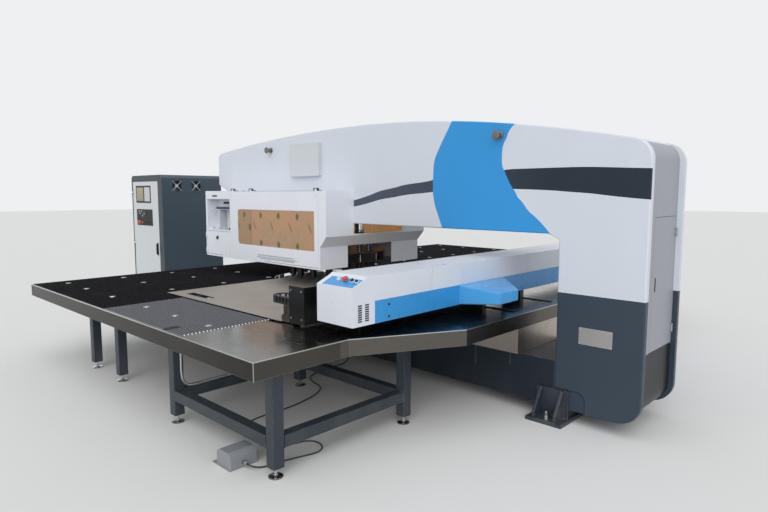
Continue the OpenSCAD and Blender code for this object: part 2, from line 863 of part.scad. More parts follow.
leg_x = [-5, 1235];
leg_y = [2360, 1200];
outer_leg_x = [-1885, -1285];
outer_leg_y = 2250;
far_leg_y = [4000, 2600, 1200];
rail_z = 180;
frame_top = table_z - top_t;
leg_spots = concat([for (x = leg_x, y = leg_y) [x, -y]], [for (x = outer_leg_x) [x, -outer_leg_y]],
    [for (x = [table_x0 + 120, leg_x[0], leg_x[1]], y = far_leg_y) [x, y]],
    [[table_x0 + 120, -900]]);

module rail_along_x(x0, x1, y, z) {
    t = 4;
    difference() {
        block(x0 + seat, x1 - seat, y - leg_w / 2, y + leg_w / 2, z, z + leg_w);
        block(x0 - 1, x1 + 1, y - leg_w / 2 + t, y + leg_w / 2 - t, z + t, z + leg_w - t);
    }
}

module rail_along_y(y0, y1, x, z) {
    t = 4;
    difference() {
        block(x - leg_w / 2, x + leg_w / 2, y0 + seat, y1 - seat, z, z + leg_w);
        block(x - leg_w / 2 + t, x + leg_w / 2 - t, y0 - 1, y1 + 1, z + t, z + leg_w - t);
    }
}

module table_legs() {
    h = leg_w / 2;
    upper = frame_top - leg_w;
    under = upper - 29;
    x_out = table_x0 + 120;
    color(slate) {
        for (p = leg_spots) {
            tube_leg(p[0], p[1], level_h, frame_top);
        }
        for (z = [rail_z, upper], y = leg_y) {
            rail_along_x(leg_x[0] + h, leg_x[1] - h, -y, z);
        }
        for (z = [rail_z, upper], x = leg_x) {
            rail_along_y(-leg_y[0] + h, -leg_y[1] - h, x, z);
        }
        rail_along_x(outer_leg_x[0] + h, outer_leg_x[1] - h, -outer_leg_y, under);
        rail_along_x(outer_leg_x[1] + h, leg_x[0] - h, -outer_leg_y, under);
        for (z = [rail_z, upper], x = leg_x) {
            rail_along_y(far_leg_y[2] + h, far_leg_y[1] - h, x, z);
            rail_along_y(far_leg_y[1] + h, far_leg_y[0] - h, x, z);
        }
        for (y = far_leg_y) {
            rail_along_x(leg_x[0] + h, leg_x[1] - h, y, under);
            rail_along_x(x_out + h, leg_x[0] - h, y, under);
        }
        rail_along_y(far_leg_y[2] + h, far_leg_y[1] - h, x_out, upper);
        rail_along_y(far_leg_y[1] + h, far_leg_y[0] - h, x_out, upper);
        for (x = [-2200, -1700, 100, 440], y = [-225, 225]) {
            block(x - 25, x + 25, y - 25, y + 25, lower_arm_z, frame_top);
        }
    }
}

module levelling_feet() {
    color(steel) for (p = leg_spots) {
        translate([p[0], p[1], 0]) union() {
            cylinder(h = 8, r = 46);
            translate([0, 0, 8]) cylinder(h = 8, r1 = 46, r2 = 20);
            translate([0, 0, 8]) cylinder(h = level_h - 8, r = 10);
            translate([0, 0, level_h - 12]) cylinder(h = 12, r = 17, $fn = 6);
        }
    }
}

// Sweeps a round tube along points
function unit(v) = v / norm(v);
function tangent(p, i) = unit(p[min(i + 1, len(p) - 1)] - p[max(i - 1, 0)]);
function side_of(t) = unit(cross(t, abs(t[2]) > 0.8 ? [0, 1, 0] : [0, 0, 1]));
function ring_points(p, i, r, n) =
    let (t = tangent(p, i), a = side_of(t), b = cross(a, t))
    [for (k = [0:n - 1]) p[i] + r * (cos(360 * k / n) * a + sin(360 * k / n) * b)];
function smooth(p) = [for (i = [0:len(p) - 2], s = [0:1]) s == 0 ? p[i] :
    let (a = p[max(i - 1, 0)], b = p[i], c = p[i + 1], d = p[min(i + 2, len(p) - 1)])
    (9 * (b + c) - a - d) / 16];
function route(p) = concat(smooth(p), [p[len(p) - 1]]);

module swept_tube(path, r, n) {
    m = len(path);
    points = [for (i = [0:m - 1]) each ring_points(path, i, r, n)];
    sides = [for (i = [0:m - 2], k = [0:n - 1])
        [i * n + k, i * n + (k + 1) % n, (i + 1) * n + (k + 1) % n, (i + 1) * n + k]];
    polyhedron(points, concat([[for (k = [n - 1:-1:0]) k]], sides,
        [[for (k = [0:n - 1]) (m - 1) * n + k]]));
}

conduit_r = 11;
conduit_route = [[46.3, -2345, 683.7], [46.3, -2345, 600], [46.3, -2345, 480], [46.3, -2344, 380],
    [46.3, -2330, 320], [44, -2295, 286], [40, -2240, 274], [30, -2160, 271.3], [22, -2060, 271.3],
    [20, -1900, 271.3], [20, -1700, 271.3], [20, -1500, 271.3], [20, -1240, 271.3]];
inlet = [-210, -half_w + arm_setback, 197];

module conduit() {
    color(steel) swept_tube(conduit_route, conduit_r, 8);
    color(black) union() {
        rod_y(inlet[1] - 6, inlet[1], inlet[0], inlet[2], 16);
        rod_y(inlet[1] - 24, inlet[1] - 6, inlet[0], inlet[2], 11);
    }
}

// Cross rails under the middle section

module cross_rails() {
    x0 = slot_x[0] + 5;
    x1 = slot_x[1] - 5;
    color(steel) for (y = [-rail_y, rail_y]) {
        union() {
            block(max(x0, throat_x[0] + box_wall + 1), x1, y - 30, y + 30, lower_arm_z + box_wall,
                rail_base_z);
            block(x0, x1, y - 30, y + 30, rail_base_z - rail_foot, rail_base_z);
            block(x0, x1, y - 12, y + 12, rail_base_z, rail_base_z + rail_h);
        }
    }
}

// Cross beam

core_x = [beam_x, beam_x1 - cover_t];
core_z = [beam_z0 + 6, beam_z1 - cover_t];
core_y = [-beam_near + end_box_l, beam_far - end_box_l];
runner_z = rail_base_z + rail_h + seat;
guide_zs = [900, 1010];

module beam() {
    t = 12;
    color(slate) difference() {
        union() {
            block(core_x[0], core_x[1], core_y[0], core_y[1], core_z[0], core_z[1]);
            for (y = [-rail_y, rail_y]) {
                block(beam_x + 75, beam_x1 - 75, y - 28, y + 28, runner_z, core_z[0]);
            }
            for (z = guide_zs) {
                block(beam_x - rail_t, beam_x, core_y[0], core_y[1], z - 12, z + 12);
            }
        }
        block(core_x[0] + t, core_x[1] - t, core_y[0] - 1, core_y[1] + 1, core_z[0] + t,
            core_z[1] - t);
    }
}

module beam_cover() {
    color(white) union() {
        block(beam_x, beam_x1, core_y[0], core_y[1], beam_z1 - cover_t, beam_z1);
        block(beam_x1 - cover_t, beam_x1, core_y[0], core_y[1], skirt_z, beam_z1 - cover_t);
    }
}

module beam_skirt() {
    x0 = beam_x1 - cover_t;
    color(blue) union() {
        block(x0, x0 + skirt_t, core_y[0], core_y[1], beam_z0, skirt_z);
        block(beam_x + 40, x0, core_y[0], -rail_y - 40, beam_z0, core_z[0]);
        block(beam_x + 40, x0, rail_y + 40, core_y[1], beam_z0, core_z[0]);
    }
    color(black) for (k = [0:14], z = [beam_z0 + 30, skirt_z - 38]) {
        y = core_y[0] + 129 + k * 285;
        if (y < -790 || y > 0) rod_x(x0 + skirt_t, x0 + skirt_t + 3, y, z, 8);
    }
}

pod_y = [-763, -520, -128];

// Plan and side view of the drive cover, set in by i
function pod_plan(x, i) = [[x, pod_y[0] + i], [x + pod_out - skirt_t - i, pod_y[0] + i],
    [x + pod_out - skirt_t - i, pod_y[1]], [x, pod_y[2] - i * 1.5]];
function pod_side(x, i) = [[x - 1, beam_z0 + i], [x + pod_out + 1, beam_z0 + 46 + i],
    [x + pod_out + 1, skirt_z - 18 - i], [x - 1, skirt_z - i]];

module drive_pod() {
    x = beam_x1 - cover_t + skirt_t;
    color(blue) difference() {
        intersection() {
            translate([0, 0, beam_z0 - 1]) linear_extrude(200) polygon(pod_plan(x, 0));
            xz_plate(pod_side(x, 0), pod_y[0] - 1, pod_y[2] + 1);
        }
        intersection() {
            translate([-1, 0, beam_z0 - 1]) linear_extrude(200) polygon(pod_plan(x, wall));
            xz_plate(pod_side(x, wall), pod_y[0] - 1, pod_y[2] + 1);
        }
    }
}

panel_low_z = beam_z1 - 63;
panel_rise = 48;
panel_run = 111;
panel_angle = atan(panel_rise / panel_run);

// Side view of an end box, set in by i, with y measured from its outer end
function end_outline(i) = [[i, beam_z0 + i], [end_box_l + (i > 0 ? 1 : 0), beam_z0 + i],
    [end_box_l + (i > 0 ? 1 : 0), beam_z1 - i], [panel_run + 26 - i / 2, beam_z1 - i],
    [panel_run, panel_low_z + panel_rise - i], [i, panel_low_z - i]];

module end_box(vents) {
    difference() {
        yz_plate([for (p = end_outline(0)) [p[0] - beam_near, p[1]]], beam_x, beam_x1);
        yz_plate([for (p = end_outline(wall)) [p[0] - beam_near, p[1]]], beam_x + wall, beam_x1 - wall);
        if (vents) for (k = [0:7], y = [66, 129]) {
            block(beam_x1 - wall - 1, beam_x1 + 1, y - 17 - beam_near, y + 17 - beam_near,
                893 + k * 14.6, 899 + k * 14.6);
        }
    }
}

// Places its children on the sloping control panel: across along X, up the slope from the near edge
module on_panel(across, up) {
    translate([beam_x + across, -beam_near, panel_low_z]) rotate([panel_angle, 0, 0])
        translate([0, up, 0]) children();
}

button_up = 76;
estop_at = 210;
start_at = 145;
selector_at = 275;
reset_at = 316;
collar_h = 8;
stem_r = 10;

module end_boxes() {
    color(white) end_box(true);
    color(white) translate([0, beam_far - beam_near, 0]) mirror([0, 1, 0]) end_box(false);
    color(blue) on_panel(28, 8) cube([beam_w - 40, 108, 2]);
    color(black) for (a = [estop_at, start_at, selector_at, reset_at]) {
        on_panel(a, button_up) translate([0, 0, 2]) difference() {
            cylinder(h = collar_h - 2, r = 15);
            translate([0, 0, -1]) cylinder(h = collar_h + 2, r = stem_r + run);
        }
    }
}

estop_travel = 4;
button_travel = 3;

module beam_estop() {
    color([0.8, 0.12, 0.12]) on_panel(estop_at, button_up) union() {
        translate([0, 0, 2 + estop_travel + 0.2]) cylinder(h = 10, r = stem_r);
        translate([0, 0, collar_h + estop_travel + 0.5]) cylinder(h = 9, r1 = 17, r2 = 21);
        translate([0, 0, collar_h + estop_travel + 9.5]) cylinder(h = 7, r1 = 21, r2 = 14);
    }
}

module push_button(at, shade) {
    color(shade) on_panel(at, button_up)
        translate([0, 0, 2 + button_travel + 0.2]) cylinder(h = 12, r = stem_r);
}

module start_button() {
    push_button(start_at, [0.85, 0.8, 0.7]);
}

module reset_button() {
    push_button(reset_at, black);
}

module mode_selector() {
    color(black) on_panel(selector_at, button_up) union() {
        translate([0, 0, 2.2]) cylinder(h = 10, r = stem_r);
        translate([-4, -13, 12.2]) cube([8, 26, 10]);
    }
}

// Carriage and clamps

carriage_x1 = beam_x - 10;
carriage_x0 = carriage_x1 - carriage_w;
carriage_y0 = -beam_near + 31;
clamp_ys = [carriage_y0 + 70, carriage_y0 + 1130];
clamp_reach = 155;
clamp_grip = 40;
lip_z = sheet_z - lip_t;
clamp_top = lip_z + 125;
pivot = [carriage_x0 - 50, lip_z + 84];
cheek_t = 10;
near_end_l = 400;
near_end_w = 170;
near_plate_t = 12;

module clamp_body() {
    x0 = carriage_x0 - clamp_reach;
    h = clamp_w / 2;
    block(x0, carriage_x0, -h, h, lip_z, sheet_z);
    for (s = [-1, 1]) {
        y0 = s > 0 ? h - cheek_t : -h;
        block(x0 + clamp_grip, carriage_x0, y0, y0 + cheek_t, sheet_z, clamp_top);
    }
    rod_y(-h, h, pivot[0], pivot[1], 8);
}

// Cover over the rail runners, with a narrower near end of two upright plates and a clamp bar
module carriage() {
    t = 6;
    y1 = carriage_y0 + near_end_l;
    far_y = carriage_y0 + carriage_l;
    near_end_x = carriage_x0 + near_end_w;
    color(black) union() {
        difference() {
            block(carriage_x0, carriage_x1 - 12, y1, far_y, carriage_z0, carriage_z1);
            block(carriage_x0 + t, carriage_x1, y1 + t, far_y - t, carriage_z0 + t, carriage_z1 - t);
        }
        block(carriage_x0, near_end_x, carriage_y0, carriage_y0 + near_plate_t, carriage_z0, carriage_z1);
        block(near_end_x - near_plate_t, near_end_x, carriage_y0, y1 + t, carriage_z0, carriage_z1);
        block(carriage_x0, carriage_x0 + 80, carriage_y0, y1 + t, carriage_z0, carriage_z0 + 185);
        for (z = guide_zs) {
            block(beam_x - rail_t - 0.5 - 40, beam_x - rail_t - 0.5, y1 + t, far_y - t, z - 18, z + 18);
        }
        block(carriage_x0 + t, beam_x - rail_t - 60.5, y1 + 60, y1 + 100, carriage_z0 + t, carriage_z1 - t);
        block(carriage_x0 + t, beam_x - rail_t - 60.5, far_y - 340, far_y - 300, carriage_z0 + t,
            carriage_z1 - t);
        block(beam_x - rail_t - 60.5, beam_x - rail_t - 40.5, y1 + t, far_y - t, carriage_z0 + t,
            carriage_z1 - t);
    }
    color(steel) for (y = clamp_ys) {
        translate([0, y, 0]) clamp_body();
    }
}

// Jaw outline in X and Z, measured from the pivot
jaw_low = sheet_z + sheet_t + seat - pivot[1];
jaw_points = [[-105, jaw_low], [-72, jaw_low], [-30, -45], [30, -32], [38, -10], [30, 24], [-12, 28],
    [-82, -30], [-105, -46]];

module clamp_jaw(y) {
    h = clamp_w / 2 - cheek_t - 0.5;
    color(steel) difference() {
        xz_plate([for (p = jaw_points) pivot + p], y - h, y + h);
        rod_y(y - h - 1, y + h + 1, pivot[0], pivot[1], 8 + run);
    }
}

module clamp_jaw_a() {
    clamp_jaw(clamp_ys[0]);
}

module clamp_jaw_b() {
    clamp_jaw(clamp_ys[1]);
}

chain_z = 934;
chain_h = 56;
chain_t = 20;
chain_r = 62;
chain_y = carriage_y0 + 95;
link_l = 39;
chain_run = 5;

module chain_window() {
    translate([-link_l / 2 + 7, -chain_t, -chain_h / 2 + 8])
        cube([link_l - 14, 2 * chain_t, chain_h - 16]);
}

// Loop of the energy chain: two runs and a half turn, with a window in each link
module drag_chain() {
    x0 = carriage_x0 - 3;
    bend_x = x0 - chain_run * link_l;
    bend_links = 5;
    step = 180 / bend_links;
    low = chain_z - chain_h / 2;
    color(black) difference() {
        union() {
            for (s = [-1, 1]) {
                y = chain_y + s * chain_r;
                block(bend_x, x0, y - chain_t / 2, y + chain_t / 2, low, low + chain_h);
                block(x0, carriage_x0, y - 12, y + 12, low, low + chain_h);
            }
            translate([bend_x, chain_y, low]) rotate([0, 0, 90]) rotate_extrude(angle = 180)
                translate([chain_r - chain_t / 2, 0]) square([chain_t, chain_h]);
        }
        for (k = [0:chain_run - 1], s = [-1, 1]) {
            translate([x0 - (k + 0.5) * link_l, chain_y + s * chain_r, chain_z]) chain_window();
        }
        for (k = [0:bend_links - 1]) {
            translate([bend_x, chain_y, chain_z]) rotate([0, 0, 90 + (k + 0.5) * step])
                translate([chain_r, 0, 0]) rotate([0, 0, 90]) chain_window();
        }
    }
}

sheet_x1 = carriage_x0 - clamp_reach + clamp_grip - 2;
sheet_y0 = carriage_y0 + 10;

module workpiece_sheet() {
    hole_x = sheet_x1 - sheet_w + 190;
    hole_y = sheet_y0 + 89;
    color(steel) difference() {
        block(sheet_x1 - sheet_w, sheet_x1, sheet_y0, sheet_y0 + sheet_l, sheet_z,
            sheet_z + sheet_t);
        block(hole_x, hole_x + 381, hole_y, hole_y + 80, sheet_z - 1, sheet_z + sheet_t + 1);
    }
}

// Control cabinet

cab_x1 = cab_x + cab_w;
cab_y1 = cab_y + cab_d;
edge_cut = 40;
cab_door_x = [cab_x + 35, cab_x1 - 124];
cab_door_z = [plinth_h + 40, cab_h - 84];
cab_hinge_zs = [cab_door_z[0] + 150, (cab_door_z[0] + cab_door_z[1]) / 2, cab_door_z[1] - 150];
handle_z = [cab_hinge_zs[1] - 140, cab_hinge_zs[1] + 30];
fan_ys = [cab_y + 220, cab_y + 503];
fan_z = cab_h - 149;
screen_x = [-4388, -3926];
screen_z = [cab_h - 385, cab_h - 146];
keys_x = [-4389, -3893];
keys_z = [cab_h - 704, cab_h - 477];

module cabinet() {
    t = wall;
    color(slate) difference() {
        union() {
            xz_plate([[cab_x, plinth_h], [cab_x1, plinth_h], [cab_x1, cab_h - edge_cut],
                [cab_x1 - edge_cut, cab_h], [cab_x + edge_cut, cab_h], [cab_x, cab_h - edge_cut]],
                cab_y, cab_y1);
            block(cab_x + 20, cab_x1 - 20, cab_y + 20, cab_y1 - 20, 0, plinth_h);
        }
        block(cab_x + t, cab_x1 - t, cab_y + 24, cab_y1 - t, plinth_h + t, cab_h - edge_cut - t);
        block(cab_door_x[0], cab_door_x[1], cab_y - 1, cab_y + 25, cab_door_z[0], cab_door_z[1]);
        for (y = fan_ys) {
            rod_x(cab_x1 - t - 1, cab_x1 + 1, y, fan_z, fan_r + 6);
        }
    }
    color(slate) for (z = cab_hinge_zs) {
        translate([cab_door_x[0] + gap / 2, cab_y, z]) door_pin();
    }
}

module cabinet_door() {
    x0 = cab_door_x[0] + gap;
    x1 = cab_door_x[1] - gap;
    z0 = cab_door_z[0] + gap;
    z1 = cab_door_z[1] - gap;
    t = 22;
    color(white) difference() {
        block(x0, x1, cab_y, cab_y + t, z0, z1);
        block(x0 + wall, x1 - wall, cab_y + wall, cab_y + t + 1, z0 + wall, z1 - wall);
        block(screen_x[0], screen_x[1], cab_y - 1, cab_y + t, screen_z[0], screen_z[1]);
        block(keys_x[0], keys_x[1], cab_y - 1, cab_y + t, keys_z[0], keys_z[1]);
    }
    color(black) union() {
        block(x1 - 60, x1 - 30, cab_y - 10, cab_y, handle_z[0], handle_z[1]);
        block(x1 - 54, x1 - 36, cab_y - 26, cab_y - 10, handle_z[0] + 15, handle_z[1] - 15);
    }
    color(white) for (z = cab_hinge_zs) {
        translate([cab_door_x[0] + gap / 2, cab_y, z]) door_knuckle();
    }
}

cab_stop = [keys_x[0] + 82, keys_z[0] + 41];

module operator_panel() {
    color(black) union() {
        block(screen_x[0], screen_x[1], cab_y - 4, cab_y + 18, screen_z[0], screen_z[1]);
        block(keys_x[0], keys_x[1], cab_y - 4, cab_y + 18, keys_z[0], keys_z[1]);
        difference() {
            rod_y(cab_y - 12, cab_y - 4, cab_stop[0], cab_stop[1], 26);
            rod_y(cab_y - 13, cab_y - 3, cab_stop[0], cab_stop[1], 12 + run);
        }
        for (k = [0:3]) {
            rod_y(cab_y - 12, cab_y - 4, cab_stop[0] + 95 + k * 75, cab_stop[1], 17);
        }
        for (k = [0:9], j = [0:2]) {
            block(keys_x[0] + 40 + k * 42, keys_x[0] + 70 + k * 42, cab_y - 8, cab_y - 4,
                keys_z[1] - 50 - j * 38, keys_z[1] - 24 - j * 38);
        }
    }
}

module cabinet_estop() {
    y = cab_y - 4;
    color([0.8, 0.12, 0.12]) translate([cab_stop[0], y, cab_stop[1]]) rotate([90, 0, 0]) union() {
        translate([0, 0, estop_travel + 0.2]) cylinder(h = 14, r = 12);
        translate([0, 0, 8 + estop_travel + 1]) cylinder(h = 8, r1 = 22, r2 = 27);
        translate([0, 0, 17 + estop_travel]) cylinder(h = 9, r1 = 27, r2 = 18);
    }
}

module fan_guard(y) {
    bar = 3;
    difference() {
        block(cab_x1, cab_x1 + 5, y - fan_r - 14, y + fan_r + 14, fan_z - fan_r - 14, fan_z + fan_r + 14);
        rod_x(cab_x1 - 1, cab_x1 + 6, y, fan_z, fan_r + 2);
    }
    for (k = [1:4]) {
        r = k * (fan_r + 2) / 5;
        difference() {
            rod_x(cab_x1 + 2, cab_x1 + 5, y, fan_z, r + bar);
            rod_x(cab_x1 + 1, cab_x1 + 6, y, fan_z, r);
        }
    }
    for (a = [0, 90]) {
        translate([cab_x1 + 2, y, fan_z]) rotate([a, 0, 0]) translate([0, -bar / 2, -fan_r - 4])
            cube([3, bar, 2 * fan_r + 8]);
    }
    // Motor that the rotor turns on
    rod_x(cab_x1 - 40, cab_x1 + 2, y, fan_z, 8);
}

module fan_guards() {
    color(black) for (y = fan_ys) {
        union() fan_guard(y);
    }
}

module fan(y) {
    color([0.15, 0.15, 0.16]) difference() {
        union() {
            rod_x(cab_x1 - 36, cab_x1 - 8, y, fan_z, 24);
            for (k = [0:6]) {
                translate([cab_x1 - 22, y, fan_z]) rotate([k * 360 / 7, 0, 0])
                    translate([0, 0, 20]) rotate([0, 0, 32]) translate([-1.5, -14, 0])
                        cube([3, 28, fan_r - 22]);
            }
        }
        rod_x(cab_x1 - 50, cab_x1, y, fan_z, 8 + run);
    }
}

module fan_front() {
    fan(fan_ys[0]);
}

module fan_rear() {
    fan(fan_ys[1]);
}

// Foot switch

switch_x1 = switch_x + switch_l;
switch_y1 = switch_y + switch_l;
switch_mid = switch_y + switch_l / 2;
treadle_pivot = [switch_x1 - 30, 45];

module foot_switch() {
    t = 4;
    floor_t = 8;
    color([0.6, 0.62, 0.64]) difference() {
        union() {
            block(switch_x, switch_x1, switch_y, switch_y1, 0, floor_t);
            xz_plate([[switch_x + 45, floor_t], [switch_x1, floor_t], [switch_x1, switch_h - 30],
                [switch_x1 - 30, switch_h], [switch_x + 75, switch_h], [switch_x + 45, switch_h - 20]],
                switch_y + 8, switch_y1 - 8);
        }
        xz_plate([[switch_x + 40, floor_t], [switch_x1 - t, floor_t], [switch_x1 - t, switch_h - 32],
            [switch_x1 - 32, switch_h - t], [switch_x + 40, switch_h - t]],
            switch_y + 8 + t, switch_y1 - 8 - t);
    }
    color(steel) rod_y(switch_y + 12, switch_y1 - 12, treadle_pivot[0], treadle_pivot[1], 5);
    color(black) rod_x(switch_x1, switch_x1 + 40, switch_mid, 32, 13);
}

module treadle() {
    slope = 9;
    color(black) difference() {
        translate([treadle_pivot[0], switch_mid, treadle_pivot[1]]) rotate([0, -slope, 0]) union() {
            translate([-120, -70, -6]) cube([128, 140, 8]);
            translate([0, 70, 0]) rotate([90, 0, 0]) cylinder(h = 140, r = 11);
            for (k = [0:6]) {
                translate([-116 + k * 12, -66, 2]) cube([5, 132, 3]);
            }
        }
        rod_y(switch_y, switch_y1, treadle_pivot[0], treadle_pivot[1], 5 + run);
    }
}

// Route of the foot switch cord, from the switch to the inlet on the lower arm
cord_start = [switch_x1 + 40 + seat, switch_mid, 32];
cord_route = [[1037, -2422.5, 32], [1048, -2421, 30.5], [1066, -2400, 20], [1085, -2340, 6],
    [1100, -2240, 5],
    [1125, -2130, 5], [1155, -2030, 5], [1160, -1950, 5], [1110, -1890, 5], [1030, -1875, 5],
    [970, -1920, 5], [945, -2010, 5], [900, -2110, 5], [780, -2160, 5], [620, -2150, 5],
    [480, -2080, 5], [395, -1980, 5], [370, -1850, 5], [375, -1670, 5], [345, -1450, 5],
    [270, -1230, 5], [160, -1110, 5], [0, -1065, 5], [-110, -1000, 5], [-180, -860, 5],
    [-205, -700, 5], [-210, -560, 5], [-210, -490, 8], [-210, -440, 36], [-210, -415, 85],
    [-210, -408, 135], [-210, -403, 172], [-210, -398, 188], [-210, -384, 196.6]];

module switch_cord() {
    color(black) swept_tube(route(concat([cord_start], cord_route, [inlet - [0, 24 + seat, 0]])), cord_r, 8);
}

side_plate_near();
side_plate_far();
frame_web();
throat_box();
foot_brackets();
levelling_screws();
junction_box();
lifting_knobs();
nameplate();
end_door();
hood_near();
hood_far();
air_unit();
air_door();
hood_hinges();
hatch_near();
window_near();
hatch_far();
window_far();
turret_housings();
upper_turret();
punches();
punch_springs();
lower_turret();
dies();
ram_cylinder();
ram();
table_near();
table_far();
table_centre();
brush_field();
ball_units();
table_legs();
levelling_feet();
conduit();
cross_rails();
beam();
beam_cover();
beam_skirt();
drive_pod();
end_boxes();
beam_estop();
start_button();
reset_button();
mode_selector();
carriage();
clamp_jaw_a();
clamp_jaw_b();
drag_chain();
workpiece_sheet();
cabinet();
cabinet_door();
operator_panel();
cabinet_estop();
fan_guards();
fan_front();
fan_rear();
foot_switch();
treadle();
switch_cord();
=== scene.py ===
"""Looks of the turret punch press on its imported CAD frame.

Places and sizes are in metres. Outlines for turning, hose routes and places on the control panel are in
millimetres.
"""

import json
import math

import bmesh
import bpy
from mathutils import Matrix, Vector

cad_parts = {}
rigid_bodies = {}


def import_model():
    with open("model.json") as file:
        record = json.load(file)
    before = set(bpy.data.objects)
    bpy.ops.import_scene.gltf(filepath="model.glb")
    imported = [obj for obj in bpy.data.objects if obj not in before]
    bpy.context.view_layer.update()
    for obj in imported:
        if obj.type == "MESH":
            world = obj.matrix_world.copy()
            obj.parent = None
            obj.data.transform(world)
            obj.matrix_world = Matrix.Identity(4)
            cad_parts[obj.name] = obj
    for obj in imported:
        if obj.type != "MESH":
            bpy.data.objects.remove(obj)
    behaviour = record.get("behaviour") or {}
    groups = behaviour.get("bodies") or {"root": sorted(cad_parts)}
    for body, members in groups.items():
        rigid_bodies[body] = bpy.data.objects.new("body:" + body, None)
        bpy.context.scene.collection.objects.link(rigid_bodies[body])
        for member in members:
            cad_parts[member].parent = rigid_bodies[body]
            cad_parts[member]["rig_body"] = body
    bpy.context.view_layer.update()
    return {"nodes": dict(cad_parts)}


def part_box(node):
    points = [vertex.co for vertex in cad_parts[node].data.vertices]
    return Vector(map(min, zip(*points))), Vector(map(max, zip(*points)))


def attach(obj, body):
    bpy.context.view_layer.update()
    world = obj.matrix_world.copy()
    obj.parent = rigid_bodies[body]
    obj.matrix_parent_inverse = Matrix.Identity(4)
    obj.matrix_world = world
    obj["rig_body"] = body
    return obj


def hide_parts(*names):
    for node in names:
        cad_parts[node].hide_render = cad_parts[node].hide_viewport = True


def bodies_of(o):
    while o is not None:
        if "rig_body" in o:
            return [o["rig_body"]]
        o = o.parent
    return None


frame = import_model()
scene = bpy.context.scene

PLATE_FACE = 0.3585      # just inside the side plates' outer faces, from the middle plane
DOOR_FACE = 2.63         # just inside the end door's outer face
HOOD_FACE = 0.7255       # just inside the hoods' and doors' outer faces
BODY_SPLIT = 0.984       # height where the frame's white ends above the slate
TABLE_TOP = 0.7692       # height of the brush strips' top
TURRET_X = -0.935        # axis of the turret
STATIONS = 16            # punches in the turret
TUFT = 0.028             # pitch of the bristle tufts
LIT_STRIP_X = -0.86           # left edge of the strip of brushes painted lighter as painted sheen
KNOB_FRONT_Z = 2.165     # height of the two lifting knobs at the right
CARRIAGE_X = 0.715       # the carriage's face towards the turret
CLAMP_YS = (-1.78, -0.72)
GUIDE_ZS = (0.9, 1.01)   # heights of the beam's two rails
CHAIN = (0.517, -1.755)  # middle of the drag chain's bend
CHAIN_BEND = 0.062       # radius of that bend
PANEL_SLOPE = math.radians(23.39)
BUTTON_ROW = 76          # millimetres up the control panel
NEAR = (0, -1, 0)        # the way the machine's near side faces
FAN_Z = 1.815            # height of the fans' axes


# Camera, floor and light

def place_camera():
    turn, dip, roll = 0.763283645, 0.106805976, 0.00075992
    ahead = Vector((-math.sin(turn), math.cos(turn), 0))
    side = Vector((math.cos(turn), math.sin(turn), 0))
    look = math.cos(dip) * ahead - Vector((0, 0, math.sin(dip)))
    rise = math.sin(dip) * ahead + Vector((0, 0, math.cos(dip)))
    right = math.cos(roll) * side + math.sin(roll) * rise
    up = math.cos(roll) * rise - math.sin(roll) * side
    data = bpy.data.cameras.new("photo_view")
    data.sensor_width = 36
    data.lens = 27.198
    camera = bpy.data.objects.new("photo_view", data)
    turned = Matrix((right, up, -look)).transposed().to_4x4()
    camera.matrix_world = Matrix.Translation((4.0316, -4.3343, 1.7089)) @ turned
    scene.collection.objects.link(camera)
    scene.camera = camera


place_camera()
scene.view_settings.view_transform = "Standard"


# Materials: arithmetic on node sockets

def operator(operation, swapped=False):
    """The method of Value that adds a Math node for one sign of plain arithmetic."""
    def method(self, *other):
        terms = (*other, self) if swapped else (self, *other)
        return self.finish.node("ShaderNodeMath", {"operation": operation}, dict(enumerate(terms)))
    return method


class Value:
    """A node's output in a finish, on which plain arithmetic works."""

    def __init__(self, finish, socket):
        self.finish = finish
        self.socket = socket

    __add__ = __radd__ = operator("ADD")
    __sub__ = operator("SUBTRACT")
    __rsub__ = operator("SUBTRACT", swapped=True)
    __mul__ = __rmul__ = operator("MULTIPLY")
    __truediv__ = operator("DIVIDE")
    __gt__ = operator("GREATER_THAN")
    __lt__ = operator("LESS_THAN")
    __abs__ = operator("ABSOLUTE")


FINISHES = {}


